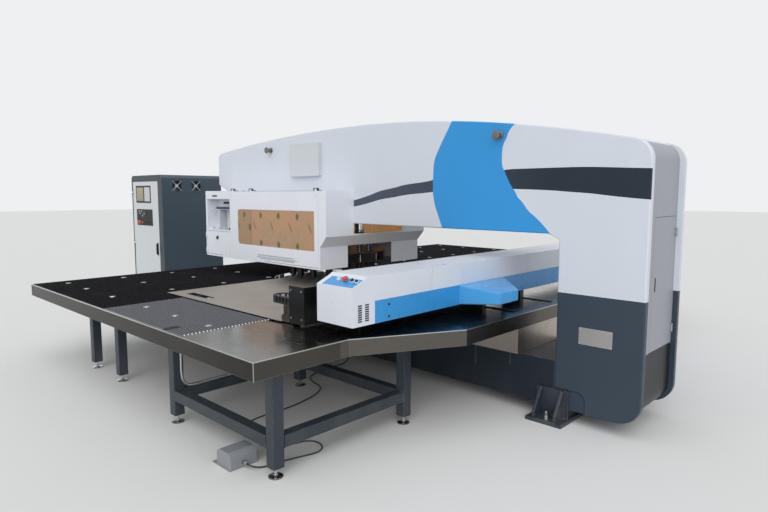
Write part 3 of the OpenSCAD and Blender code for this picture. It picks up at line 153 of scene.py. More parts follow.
class Finish:
    """The node tree of one material. Once it is closed, it is kept in FINISHES under its name."""

    def __init__(self, name):
        self.name = name
        self.material = bpy.data.materials.new(name)
        self.material.use_nodes = True
        self.tree = self.material.node_tree
        self.tree.nodes.clear()
        self.place = self.node("ShaderNodeTexCoord", {}, {}, "Object")
        self.x, self.y, self.z = (self.node("ShaderNodeSeparateXYZ", {}, {0: self.place}, axis)
                                  for axis in range(3))

    def node(self, kind, settings, inputs, out=0):
        """Adds a node: first its settings, then its sockets' values or links. Gives back one output."""
        made = self.tree.nodes.new(kind)
        for name, value in settings.items():
            if name == "stops":
                made.color_ramp.elements.remove(made.color_ramp.elements[1])
                made.color_ramp.elements[0].position, made.color_ramp.elements[0].color = value[0]
                for position, colour in value[1:]:
                    made.color_ramp.elements.new(position).color = colour
            elif name == "ramp_interpolation":
                made.color_ramp.interpolation = value
            else:
                setattr(made, name, value)
        for key, value in inputs.items():
            socket = made.inputs[key] if isinstance(key, int) else \
                next(s for s in made.inputs if s.name == key and s.enabled)
            if isinstance(value, Value):
                self.tree.links.new(value.socket, socket)
            else:
                socket.default_value = value
        if out is None:
            return made
        return Value(self, made.outputs[out] if isinstance(out, int) else
                     next(s for s in made.outputs if s.name == out and s.enabled))

    def grain(self, scale, detail=2.0, stretch=None):
        """Noise from 0 to 1 on Object coordinates, stretched by a factor along each axis."""
        place = self.place
        if stretch:
            place = self.node("ShaderNodeVectorMath", {"operation": "MULTIPLY"}, {0: place, 1: stretch})
        return self.node("ShaderNodeTexNoise", {}, {"Vector": place, "Scale": scale, "Detail": detail})

    def step(self, value, low, high):
        """0 below low, 1 above high and straight between them; low may be the larger."""
        return self.node("ShaderNodeMapRange", {}, {"Value": value, "From Min": low, "From Max": high})

    def mix(self, share, first, second):
        return self.node("ShaderNodeMix", {"data_type": "RGBA"},
                         {"Factor": share, "A": rgb(first), "B": rgb(second)}, "Result")

    def toned(self, colour, factor):
        """A colour made lighter or darker by a factor."""
        colour = colour if isinstance(colour, Value) else rgb(colour)[:3]
        return self.node("ShaderNodeVectorMath", {"operation": "SCALE"}, {0: colour, "Scale": factor})

    def traced(self, value, points):
        """A smooth line through (at, height) points, as a function of value."""
        ats = [p[0] for p in points]
        low, high = min(p[1] for p in points), max(p[1] for p in points)
        stops = [((at - ats[0]) / (ats[-1] - ats[0]), [(h - low) / (high - low)] * 3 + [1])
                 for at, h in points]
        ramp = self.node("ShaderNodeValToRGB", {"ramp_interpolation": "CARDINAL", "stops": stops},
                         {"Fac": (value - ats[0]) / (ats[-1] - ats[0])})
        return low + (high - low) * ramp

    def edges(self, radius):
        """1 on outer edges and 0 on flat faces."""
        rounded = self.node("ShaderNodeBevel", {"samples": 4}, {"Radius": radius})
        true = self.node("ShaderNodeNewGeometry", {}, {}, "Normal")
        same = self.node("ShaderNodeVectorMath", {"operation": "DOT_PRODUCT"},
                         {0: rounded, 1: true}, "Value")
        return self.step(same, 0.985, 0.86)

    def facing_up(self):
        true = self.node("ShaderNodeNewGeometry", {}, {}, "Normal")
        return self.step(self.node("ShaderNodeSeparateXYZ", {}, {0: true}, 2), 0.6, 0.8)

    def close(self, colour, roughness, relief=None, **more):
        """Ends the finish in a Principled shader; relief is a height in metres."""
        inputs = {"Base Color": colour, "Roughness": roughness}
        if relief is not None:
            inputs["Normal"] = self.node("ShaderNodeBump", {}, {"Distance": 1.0, "Height": relief})
        inputs.update({name.replace("_", " "): value for name, value in more.items()})
        shader = self.node("ShaderNodeBsdfPrincipled", {}, inputs)
        self.node("ShaderNodeOutputMaterial", {}, {"Surface": shader}, None)
        FINISHES[self.name] = self.material


def rgb(colour):
    """What a socket needs for a colour given as the 0-255 values that a screen shows; a Value stays."""
    if isinstance(colour, Value):
        return colour
    return [((c / 255 + 0.055) / 1.055) ** 2.4 if c > 10 else c / 3294.6 for c in colour] + [1]


WHITE = (206, 211, 219)
SLATE = (54, 66, 78)
BLUE = (54, 146, 210)
DUST = (150, 142, 132)
BARE = (168, 172, 176)


# Finishes

def paint(name, colour, roughness=0.36, peel=1.0, wear=0.5, dust=0.14, shine=0.5):
    """Sprayed paint: faint clouds and runs, orange peel, rubbed edges and dust near the floor."""
    f = Finish(name)
    base = colour(f) if callable(colour) else colour
    clouds, runs, fine = f.grain(1.3, 3), f.grain(7, 5, (1, 1, 0.22)), f.grain(70, 3)
    base = f.toned(base, 1 + 0.07 * (clouds - 0.5) + 0.05 * (runs - 0.5) + 0.03 * (fine - 0.5))
    rubbed = f.edges(0.004) * f.step(f.grain(23, 5), 0.5, 0.62) * wear
    dusty = f.step(f.z, 0.42, 0.0) * f.step(runs, 0.4, 0.7) * dust
    base = f.mix(rubbed, f.mix(dusty, base, DUST), BARE)
    gloss = roughness + 0.16 * (runs - 0.5) + 0.25 * dusty + 0.15 * rubbed + 0.05 * (fine - 0.5)
    relief = 0.00005 * peel * f.grain(240, 1) + 0.0005 * f.grain(1.9, 1)
    f.close(base, gloss, relief, Specular_IOR_Level=shine)


def steel(name, colour, roughness, brushed=(2, 2, 260), dirt=0.35, lit_top_colour=None, top_gloss=0.0,
          pattern=None, waves=0.0004, metal=1.0):
    """Metal with brush lines along one direction, clouds of grease, fine scratches and bright edges."""
    f = Finish(name)
    lines = f.grain(3, 3, brushed)
    clouds, spots = f.grain(2.1, 5), f.grain(14, 4)
    base = f.toned(colour, 0.86 + 0.2 * lines + 0.14 * (spots - 0.5))
    # Upward faces take a lighter colour of their own than the sides: painted light.
    if lit_top_colour:
        base = f.mix(f.facing_up(), base, f.toned(lit_top_colour, 0.9 + 0.25 * (spots - 0.5) + 0.1 * lines))
    if pattern:
        base = pattern(f, base)
    base = f.mix(f.step(clouds, 0.5, 0.78) * dirt, base, (96, 88, 78))
    base = f.mix(f.edges(0.003) * 0.6, base, (214, 214, 212))
    scratch = f.step(f.grain(9, 2, (1, 14, 9)), 0.66, 0.7)
    gloss = roughness + 0.14 * (clouds - 0.5) + 0.12 * (lines - 0.5) + 0.12 * scratch
    if top_gloss:
        gloss = gloss - top_gloss * f.facing_up()
    relief = 0.00002 * lines + 0.00003 * spots + waves * f.grain(2.4, 1)
    f.close(base, gloss, relief, Metallic=metal)


def moulded(name, colour, roughness, sheen=0.5, dust=0.3):
    """Moulded plastic or rubber: fine leather-like grain, scuffed edges and dust in the clouds."""
    f = Finish(name)
    clouds, pores = f.grain(5, 4), f.grain(310, 2)
    scuffed = f.edges(0.002) * f.step(f.grain(40, 4), 0.45, 0.62) * 0.45
    base = f.toned(colour, 0.92 + 0.16 * clouds)
    base = f.mix(f.step(clouds, 0.52, 0.8) * dust, base, f.toned(DUST, 0.7))
    base = f.mix(scuffed, base, f.toned(BARE, 0.8))
    gloss = roughness + 0.2 * (clouds - 0.5) + 0.1 * (pores - 0.5) + 0.1 * scuffed
    f.close(base, gloss, 0.00006 * pores, Specular_IOR_Level=sheen)


def livery(f):
    """White over slate, the blue band across the arm, the dark stripe on both sides, painted lighter towards
    the left as painted sheen, the slate under the table painted darker as painted shadow of the table, and
    the end wall in grey, nearly black low down.
    """
    left = f.traced(f.z, [(1.4, 0.927), (1.6, 0.845), (1.829, 0.818), (2.07, 0.868), (2.4, 1.055)])
    right = f.traced(f.z, [(1.4, 1.95), (1.55, 1.796), (1.662, 1.684), (1.747, 1.616), (1.895, 1.531),
                           (2.012, 1.51), (2.12, 1.535), (2.236, 1.611), (2.4, 1.76)])
    band = (f.x > left) * (f.x < right) * (f.z > 1.395)
    top = f.traced(f.x, [(-0.2, 1.643), (0.12, 1.72), (0.431, 1.78), (0.818, 1.829), (1.531, 1.895),
                         (2.003, 1.901), (2.302, 1.895), (2.66, 1.877)])
    low = f.traced(f.x, [(-0.2, 1.58), (0.12, 1.642), (0.431, 1.689), (0.819, 1.725), (1.2, 1.748),
                         (1.616, 1.747), (2.009, 1.73), (2.309, 1.705), (2.66, 1.672)])
    side = abs(f.y)
    stripe = (f.z < top) * (f.z > low) * (f.x > -0.19) * (side > 0.33) * (f.x < 2.6515)
    end_wall = (f.x > 2.55) * (side < 0.3085)
    # The stripe goes from lighter at the left to darker at the right: painted sheen.
    base = f.mix(stripe, WHITE, f.mix(f.step(f.x, 0.2, 1.9), (72, 80, 94), (34, 44, 54)))
    base = f.mix(band, base, BLUE)
    # Slate under the table is painted darker: painted shadow of the table.
    table_shadow = (side < 0.352) * (f.x < 2.0) * f.step(f.z, 0.75, 0.6)
    base = f.mix(f.z < BODY_SPLIT, base, f.mix(table_shadow, SLATE, (32, 40, 49)))
    return f.mix(end_wall, base, f.mix(f.z > 0.585, (26, 27, 31), (150, 153, 160)))


def table_pattern(f, base):
    """Table steel: dark under the bristles, aprons painted darker as painted reflection of a dark floor, and
    painted highlights along the rim and corner.
    """
    under = (f.x < 0.4505) * (f.z > 0.7685) * (f.x > -2.7395) * (f.y > -2.5395) * (f.y < 4.1845)
    near_apron_reflection = (f.y < -2.5548) * (f.z < 0.7625)
    front_apron_reflection = (f.x > 1.3148) * (f.z < 0.7625) * (f.y < -1.9)
    # The aprons are painted darker, the near one most: painted reflection of a dark floor.
    base = f.toned(base, 1 - 0.7 * near_apron_reflection - 0.38 * front_apron_reflection)
    # A bright band along the rim and down the near corner: painted highlight.
    rim = (f.z > 0.7625) * (f.z < 0.7688)
    corner = (f.x > 1.3115) * (f.y < -2.5515) * (f.z < 0.769)
    base = f.mix(f.step(rim + corner, 0, 1) * 0.6, base, (228, 228, 226))
    return f.mix(under, base, (24, 25, 28))


def film(name, lighter, clear):
    """Brown protective film with faint blurred marks, a lap seam and creases.

    lighter is its share of a lit, paler brown, clear the light that it lets through.
    """
    f = Finish(name)
    blur = 0.5 * (f.grain(38, 3) - 0.5)

    def repeated(value, half=0.159):
        return f.node("ShaderNodeMath", {"operation": "WRAP"}, {0: value, 1: half, 2: -half})

    def spot(place, height, wide, tall):
        a, b = place / wide, (f.z - height) / tall
        return f.step(a * a + b * b + blur, 1.0, 0.35)

    right_part = f.x > -1.447
    across = repeated(f.x + 0.95)
    spots = (spot(across, 1.478, 0.03, 0.042) + spot(across, 1.177, 0.032, 0.04) * right_part
             + spot(f.x + 1.478, 1.342, 0.034, 0.05))
    ticks = spot(repeated(f.x + 1.07) + 0.55 * (f.z - 1.37), 1.365, 0.02, 0.06) * 0.35
    clouds, fine = f.grain(3.4, 4), f.grain(45, 3)
    base = f.mix(f.step(clouds, 0.35, 0.65), (172, 140, 110), (184, 142, 106))
    base = f.mix(1 - right_part, base, (164, 132, 98))
    base = f.mix(spots + 1.6 * ticks, base, (92, 96, 48))
    seam = f.step(abs(f.x + 1.449), 0.009, 0.004)
    base = f.mix(seam * 0.5, base, (112, 88, 60))
    base = f.mix(lighter, f.toned(base, 0.95 + 0.1 * fine), (246, 178, 104))
    creases = f.step(f.grain(5, 3, (3, 1, 0.7)), 0.52, 0.6)
    relief = 0.0006 * seam + 0.0009 * f.grain(6, 2) + 0.0002 * creases
    f.close(base, 0.3 + 0.25 * (clouds - 0.5) + 0.1 * creases, relief, Transmission_Weight=clear)


def glass_panel():
    """Dark screen glass with a soft sheen and a few finger marks."""
    f = Finish("screen_glass")
    smear = f.grain(22, 4, (1, 1, 2))
    lit = f.step(f.z, 1.6, 1.8)
    base = f.mix(lit, (128, 118, 88), (158, 148, 112))
    base = f.toned(base, 0.85 + 0.25 * f.grain(9, 3))
    f.close(base, 0.12 + 0.25 * f.step(smear, 0.5, 0.7), 0.0001 * smear, Coat_Weight=0.4)


def floor_finish():
    """Plain pale floor with faint clouds."""
    f = Finish("pale_floor")
    base = f.toned((226, 226, 224), 0.985 + 0.03 * f.grain(1.5, 4))
    f.close(base, 0.75 + 0.1 * (f.grain(3, 4) - 0.5), Specular_IOR_Level=0.25)


def backdrop():
    """Even pale light; the camera, mirrors and glass see it as a white background."""
    world = bpy.data.worlds.new("studio")
    scene.world = world
    world.use_nodes = True
    nodes, links = world.node_tree.nodes, world.node_tree.links
    nodes.clear()
    path = nodes.new("ShaderNodeLightPath")
    seen = path.outputs["Is Camera Ray"]
    for ray in ("Is Transmission Ray", "Is Glossy Ray"):
        either = nodes.new("ShaderNodeMath")
        either.operation = "MAXIMUM"
        links.new(seen, either.inputs[0])
        links.new(path.outputs[ray], either.inputs[1])
        seen = either.outputs[0]
    mixed = nodes.new("ShaderNodeMixShader")
    links.new(seen, mixed.inputs[0])
    lighting, shown = ((0.93, 0.96, 1, 1), 0.52), ((0.86, 0.87, 0.88, 1), 1.0)
    for k, (colour, strength) in enumerate((lighting, shown)):
        background = nodes.new("ShaderNodeBackground")
        background.inputs["Color"].default_value = colour
        background.inputs["Strength"].default_value = strength
        links.new(background.outputs[0], mixed.inputs[k + 1])
    links.new(mixed.outputs[0], nodes.new("ShaderNodeOutputWorld").inputs["Surface"])


def lamp(name, towards, strength, spread):
    """A far, wide lamp that shines in one direction."""
    data = bpy.data.lights.new(name, "SUN")
    data.energy = strength
    data.angle = math.radians(spread)
    made = bpy.data.objects.new(name, data)
    made.rotation_euler = Vector(towards).to_track_quat("-Z", "Y").to_euler()
    scene.collection.objects.link(made)


def set_studio():
    backdrop()
    lamp("ceiling_light", (-0.25, 0.45, -1), 1.05, 70)
    lamp("front_light", (-0.85, 0.95, -0.42), 1.4, 60)
    bm = bmesh.new()
    bmesh.ops.create_grid(bm, x_segments=2, y_segments=2, size=60)
    mesh = bpy.data.meshes.new("studio_floor")
    bm.to_mesh(mesh)
    bm.free()
    floor = bpy.data.objects.new("studio_floor", mesh)
    floor_finish()
    floor.data.materials.append(FINISHES["pale_floor"])
    scene.collection.objects.link(floor)


set_studio()

paint("frame_paint", livery, dust=0.04, shine=0.25)
paint("cover_white", (226, 229, 236), 0.34, wear=0.35)
paint("beam_white", (216, 220, 228), 0.3, wear=0.35)
# Slate painted darker for the legs, foot brackets and lower arm strips under the table: painted shade.
paint("leg_slate", (42, 51, 60), 0.42)
# The cabinet's front is a darker slate than its sides: painted shade.
paint("shaded_cabinet_front_slate", (46, 56, 65), 0.42)
paint("blue_paint", BLUE, 0.28, wear=0.35)
# A lighter copy of the blue for the drive cover: painted light.
paint("drive_cover_blue", (78, 162, 222), 0.28, wear=0.35)
paint("carriage_black", (15, 16, 19), 0.34, wear=0.3, dust=0.0, shine=0.3)
paint("black_paint", (33, 34, 38), 0.42, wear=0.6)
paint("cabinet_slate", (66, 80, 90), 0.42)
paint("cabinet_door_white", (198, 202, 204), 0.36)
# The table steel's sides are a dark colour and its top a lighter one: painted reflection and painted light.
steel("brushed_apron", (106, 102, 97), 0.3, lit_top_colour=(150, 148, 142), top_gloss=0.1,
      pattern=table_pattern)
# The sheet's warm grey-brown is partly the steel's own colour and partly painted reflection of warm ceiling
# light.
steel("mill_sheet_warm_reflection", (166, 158, 150), 0.5, (240, 2, 2), 0.2, waves=0.0001, metal=0.7)
steel("machined_steel", (168, 168, 168), 0.3, (60, 60, 2), 0.2)
steel("ground_steel", (170, 170, 168), 0.24, (2, 120, 120), 0.15)
steel("clamp_steel", (100, 92, 86), 0.42, (2, 90, 90), 0.25)
steel("dark_tool_steel", (48, 48, 52), 0.4, (80, 80, 2), 0.3)
steel("tool_steel", (82, 82, 86), 0.32, (80, 80, 2), 0.3)
steel("knob_steel", (128, 124, 118), 0.32, (80, 80, 2), 0.2)
steel("bright_steel", (214, 214, 214), 0.16, (80, 80, 2), 0.1)
steel("zinc_steel", (186, 186, 182), 0.3, (50, 50, 2), 0.2)
steel("nameplate_metal", (188, 186, 184), 0.36, (240, 2, 2), 0.1)
moulded("black_plastic", (22, 23, 26), 0.45, 0.3, dust=0.12)
moulded("chain_plastic", (38, 39, 43), 0.5)
moulded("grey_plastic", (190, 194, 198), 0.4, dust=0.2)
moulded("pale_plastic", (196, 198, 198), 0.4, dust=0.2)
moulded("red_plastic", (206, 42, 44), 0.3, dust=0.05)
moulded("ivory_plastic", (228, 216, 196), 0.34, dust=0.05)
moulded("navy_plastic", (40, 50, 98), 0.36, dust=0.1)
moulded("orange_plastic", (222, 92, 44), 0.3, dust=0.05)
moulded("spring_enamel", (44, 76, 176), 0.3, dust=0.05)
moulded("bristle", (13, 13, 15), 0.85, 0.05, dust=0.05)
moulded("bristle_base", (18, 18, 21), 0.8, 0.05, dust=0.05)
# Bristles of the strip at the front, painted lighter: painted sheen.
moulded("bristle_lit", (24, 25, 28), 0.7, 0.15, dust=0.1)
moulded("bristle_lit_base", (98, 100, 106), 0.5, 0.3, dust=0.1)
moulded("cord_rubber", (34, 35, 37), 0.5, dust=0.45)
moulded("foot_rubber", (26, 26, 28), 0.6, dust=0.4)
paint("junction_box_paint", (198, 202, 206), 0.4)
steel("throat_cover_steel", (204, 192, 182), 0.34, (200, 2, 2), 0.3)
moulded("pale_bowl", (208, 209, 206), 0.2, dust=0.05)
steel("tread_metal", (150, 152, 156), 0.4, (60, 60, 2), 0.3)
paint("hammered_grey", (134, 138, 144), 0.42, 6.0)
film("protective_film", 0.0, 0.0)
film("far_protective_film", 0.6, 0.75)
glass_panel()


# Mesh building

def edges_of(verts):
    return list({e for v in verts for e in v.link_edges})


def faces_of(verts):
    return list({f for v in verts for f in v.link_faces})


def shift(x, y, z=0.0):
    return Matrix.Translation((x, y, z))


def facing(outward, at):
    """Places a turned shape with its axis along an outward direction."""
    return Matrix.Translation(at) @ Vector(outward).to_track_quat("Z", "Y").to_matrix().to_4x4()


def ring(radius, wire, sides=6):
    """Closed outline of a wire ring for turning, in millimetres."""
    turns = [2 * math.pi * k / sides for k in range(sides + 1)]
    return [(radius + wire * math.cos(a), wire * math.sin(a)) for a in turns]


class Shape:
    """A mesh under construction. It starts empty or as a merged copy of a CAD node's mesh."""

    def __init__(self, node=None):
        self.bm = bmesh.new()
        self.coat = 0
        if node:
            self.bm.from_mesh(frame["nodes"][node].data)
            bmesh.ops.remove_doubles(self.bm, verts=self.bm.verts, dist=2e-5)
            bmesh.ops.dissolve_limit(self.bm, angle_limit=0.002, verts=self.bm.verts[:],
                                     edges=self.bm.edges[:])
            for face in self.bm.faces:
                face.material_index = 0

    def made(self, verts, place=None):
        """Coats the faces of new vertices and moves them."""
        if place is not None:
            bmesh.ops.transform(self.bm, matrix=place, verts=verts)
        for face in faces_of(verts):
            face.material_index = self.coat

    def _since(self, old):
        return [v for v in self.bm.verts if v not in old]

    def block(self, low, high, bevel=0.0, segments=2, place=None):
        low, high = Vector(low), Vector(high)
        verts = bmesh.ops.create_cube(self.bm, size=1)["verts"]
        bmesh.ops.scale(self.bm, vec=high - low, verts=verts)
        bmesh.ops.translate(self.bm, vec=(low + high) / 2, verts=verts)
        self.made(verts, place)
        if bevel:
            self.round(edges_of(verts), bevel, segments)

    def rod(self, start, end, radius, sides=20, bevel=0.0):
        start, end = Vector(start), Vector(end)
        verts = bmesh.ops.create_cone(self.bm, cap_ends=True, segments=sides, radius1=radius,
                                      radius2=radius, depth=(end - start).length)["verts"]
        self.made(verts, facing(end - start, (start + end) / 2))
        if bevel:
            ends = [e for e in edges_of(verts) if any(len(f.verts) > 4 for f in e.link_faces)]
            self.round(ends, bevel)

    def turned(self, outline, place=None, steps=28):
        """Turns (radius, height) pairs in millimetres about Z and closes the seam and the poles."""
        old = set(self.bm.verts)
        verts = [self.bm.verts.new((radius / 1000, 0, height / 1000)) for radius, height in outline]
        edges = [self.bm.edges.new(pair) for pair in zip(verts, verts[1:])]
        bmesh.ops.spin(self.bm, geom=verts + edges, cent=(0, 0, 0), axis=(0, 0, 1), dvec=(0, 0, 0),
                       angle=2 * math.pi, steps=steps, use_merge=True)
        bmesh.ops.remove_doubles(self.bm, verts=self._since(old), dist=1e-6)
        new = self._since(old)
        bmesh.ops.recalc_face_normals(self.bm, faces=faces_of(new))
        self.made(new, place)

    def prism(self, points, along, bevel):
        """Extrudes a closed outline of points along a vector."""
        verts = [self.bm.verts.new(p) for p in points]
        face = self.bm.faces.new(verts)
        grown = bmesh.ops.extrude_face_region(self.bm, geom=[face], use_keep_orig=True)["geom"]
        moved = [v for v in grown if isinstance(v, bmesh.types.BMVert)]
        bmesh.ops.translate(self.bm, vec=along, verts=moved)
        faces = faces_of(verts + moved)
        bmesh.ops.recalc_face_normals(self.bm, faces=faces)
        self.made(verts + moved)
        self.round(list({e for f in faces for e in f.edges}), bevel)

    def coil(self, radius, wire, height, turns, place, steps=12, sides=6):
        """Winds a round wire into a spring along Z."""
        old = set(self.bm.verts)
        lay = Matrix.Translation((radius, 0, wire)) @ Matrix.Rotation(math.pi / 2, 4, "X")
        verts = bmesh.ops.create_circle(self.bm, cap_ends=False, radius=wire, segments=sides,
                                        matrix=lay)["verts"]
        bmesh.ops.spin(self.bm, geom=verts + edges_of(verts), cent=(0, 0, 0), axis=(0, 0, 1),
                       dvec=(0, 0, (height - 2 * wire) / (steps * turns)), angle=2 * math.pi * turns,
                       steps=steps * turns, use_merge=False)
        new = self._since(old)
        ends = [e for e in edges_of(new) if e.is_boundary]
        bmesh.ops.holes_fill(self.bm, edges=ends, sides=sides)
        bmesh.ops.recalc_face_normals(self.bm, faces=faces_of(new))
        self.made(new, place)

    def round(self, edges, width, segments=2, clamp=True):
        bmesh.ops.bevel(self.bm, geom=edges, offset=width, offset_type="OFFSET", segments=segments,
                        profile=0.5, affect="EDGES", clamp_overlap=clamp, material=-1)

    def round_edges(self, width, where=None, segments=2, over=30, shortest=0.0, clamp=False):
        """Rounds each edge that is sharp and long enough and passes a test of its middle."""
        edges = [e for e in self.bm.edges if e.is_manifold and e.calc_face_angle() > math.radians(over)
                 and e.calc_length() > shortest
                 and (where is None or where((e.verts[0].co + e.verts[1].co) / 2, e))]
        self.round(edges, width, segments, clamp)

    def sound(self):
        """False where a bevel has folded a face over itself."""
        flat = sum(face.calc_area() for face in self.bm.faces)
        cut = sum((b.vert.co - a.vert.co).cross(c.vert.co - a.vert.co).length
                  for a, b, c in self.bm.calc_loop_triangles()) / 2
        return cut < 1.004 * flat

    def finish(self, name, coats, node=None, on=None, slot=None, smooth=32):
        """Makes the piece. It stands for a CAD node, or is a detail that rides on one."""
        mesh = bpy.data.meshes.new(name)
        for face in self.bm.faces:
            face.smooth = True
        self.bm.to_mesh(mesh)
        self.bm.free()
        for layer in ("custom_normal", "sharp_face"):
            if layer in mesh.attributes:
                mesh.attributes.remove(mesh.attributes[layer])
        mesh.set_sharp_from_angle(angle=math.radians(smooth))
        made = bpy.data.objects.new(name, mesh)
        for coat in [coats] if isinstance(coats, str) else coats:
            mesh.materials.append(FINISHES[coat])
        scene.collection.objects.link(made)
        made.modifiers.new("even_shading", "WEIGHTED_NORMAL").keep_sharp = True
        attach(made, body_of(node or on))
        if node:
            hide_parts(node)


def body_of(node):
    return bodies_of(frame["nodes"][node])[0]


def coat_node(node, coat):
    """Gives a CAD node that stays its finish."""
    data = frame["nodes"][node].data
    data.materials.clear()
    data.materials.append(FINISHES[coat])


def dress(node, coats, width=0.003, where=None, segments=2, over=30, shortest=0.0, coat_of=None,
          first=None):
    """A copy of a CAD node with rounded edges; coat_of picks each face's finish from its middle.

    first names a larger rounding made before the other one, on a mesh cut into triangles. A rounding
    that folds the mesh is made again with its width clamped, and then left out.
    """
    for clamp, large in ((False, first), (True, first), (False, None), (True, None), (None, None)):
        shape = Shape(node)
        if coat_of:
            for face in shape.bm.faces:
                face.material_index = coat_of(face.calc_center_median())
        if large:
            bmesh.ops.triangulate(shape.bm, faces=shape.bm.faces[:])
            shape.round_edges(*large, clamp=clamp)
        if width and clamp is not None:
            shape.round_edges(width, where, segments, over, shortest, clamp)
        if shape.sound():
            break
    shape.finish(node + "_skin", coats, node)


# Cord of the foot switch and conduit

def lay_line(name, points, radius, coat, node):
    """A round line through the points of the CAD route, with the same bends between them.

    Gives back the piece and the length of the route.
    """
    curve = bpy.data.curves.new(name, "CURVE")
    curve.dimensions = "3D"
    curve.resolution_u = 6
    curve.render_resolution_u = 6
    curve.bevel_depth = radius
    curve.bevel_resolution = 3
    curve.use_fill_caps = True
    spline = curve.splines.new("BEZIER")
    spline.bezier_points.add(len(points) - 1)
    points = [Vector(p) / 1000 for p in points]
    for k, point in enumerate(spline.bezier_points):
        pull = (points[min(k + 1, len(points) - 1)] - points[max(k - 1, 0)]) / 6
        point.co = points[k]
        point.handle_left = points[k] - pull
        point.handle_right = points[k] + pull
    made = bpy.data.objects.new(name, curve)
    curve.materials.append(FINISHES[coat])
    scene.collection.objects.link(made)
    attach(made, body_of(node))
    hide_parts(node)
    return made, sum((b - a).length for a, b in zip(points, points[1:]))


CORD = [(1025.3, -2422.5, 32), (1037, -2422.5, 32), (1048, -2421, 30.5), (1066, -2400, 20),
        (1085, -2340, 6), (1100, -2240, 5), (1125, -2130, 5), (1155, -2030, 5), (1160, -1950, 5),
        (1110, -1890, 5), (1030, -1875, 5), (970, -1920, 5), (945, -2010, 5), (900, -2110, 5),
        (780, -2160, 5), (620, -2150, 5), (480, -2080, 5), (395, -1980, 5), (370, -1850, 5), (375, -1670, 5),
        (345, -1450, 5), (270, -1230, 5), (160, -1110, 5), (0, -1065, 5), (-110, -1000, 5),
        (-180, -860, 5), (-205, -700, 5), (-210, -560, 5), (-210, -490, 8), (-210, -440, 36),
        (-210, -415, 85), (-210, -408, 135), (-210, -403, 172), (-210, -398, 188), (-210, -384, 196.6),
        (-210, -368.3, 197)]


def make_cord():
    cord, length = lay_line("foot_switch_cord", CORD, 0.005, "cord_rubber", "switch_cord")


make_cord()


# C-frame

def make_frame():
    for side in ("near", "far"):
        dress("side_plate_" + side, "frame_paint", 0.011, lambda m, e: abs(m.y) > PLATE_FACE, 3, 40, 0.006)
    dress("frame_web", "frame_paint", 0)
    dress("throat_box", "throat_cover_steel", 0.004, shortest=0.05)
    dress("foot_brackets", "leg_slate", 0.003, shortest=0.03)
    dress("junction_box", "junction_box_paint", 0.005, shortest=0.06)

    def door_coat(c):
        in_grip = abs(c.y + 0.09) < 0.045 and 1.0 < c.z < 1.14 and c.x < DOOR_FACE
        on_hinge = c.y > 0.2872
        return 1 if in_grip else 2 * int(on_hinge)
    dress("end_door", ["frame_paint", "black_plastic", "zinc_steel"], 0.003,
          lambda m, e: m.x > DOOR_FACE, 2, 40, 0.3, coat_of=door_coat)

    size = 1000 * (KNOB_FRONT_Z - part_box("lifting_knobs")[0].z)
    knobs = Shape()
    for x, z in ((-1.565, 2.2), (1.488, KNOB_FRONT_Z)):
        for side in (-1, 1):
            knobs.turned([(0, 72), (size * 0.8, 72), (size, 69), (size, 56), (size * 0.62, 52),
                          (size * 0.55, 30), (size * 0.62, 12), (size * 0.95, 8), (size * 0.95, 0), (0, 0)],
                         facing((0, side, 0), (x, side * 0.359, z)), 24)
    knobs.finish("lifting_knobs_turned", "knob_steel", "lifting_knobs")

    plate = Shape("nameplate")
    plate.round_edges(0.0008, None, 1, 40, 0.02)
    low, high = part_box("nameplate")
    for x in (low.x + 0.009, high.x - 0.009):
        for z in (low.z + 0.009, high.z - 0.009):
            plate.turned([(0, 2.2), (2, 1.8), (3.5, 0.6), (3.8, 0), (0, 0)],
                         facing(NEAR, (x, low.y, z)), 12)
    plate.finish("nameplate_riveted", "nameplate_metal", "nameplate")

    screws = Shape()
    for x in (-2.0, 2.0):
        for y in (-0.445, 0.445):
            at = shift(x, y)
            thread = [(12 if k % 2 else 10.4, 55 + 1.1 * k) for k in range(26)]
            screws.turned([(0, 85), (9.5, 85)] + thread[::-1] + [(11.5, 55), (11.5, 0.5), (0, 0.5)], at, 16)
            screws.turned([(0, 34.5), (23, 34.5), (24, 33.5), (24, 30.3), (0, 30.3)], at, 24)
            screws.rod((x, y, 0.0346), (x, y, 0.0545), 0.021, sides=6, bevel=0.0012)
    screws.finish("levelling_screws_threaded", "zinc_steel", "levelling_screws")

    trims = Shape()
    trims.block((1.279, -0.3478, 0.282), (1.295, -0.3438, 0.45), 0.001)
    trims.block((1.612, -0.3478, 0.352), (1.628, -0.3438, 0.45), 0.001)
    trims.finish("lower_arm_strips", "leg_slate", on="side_plate_near", slot="slate_paint")


# Hoods, hatches and the air unit

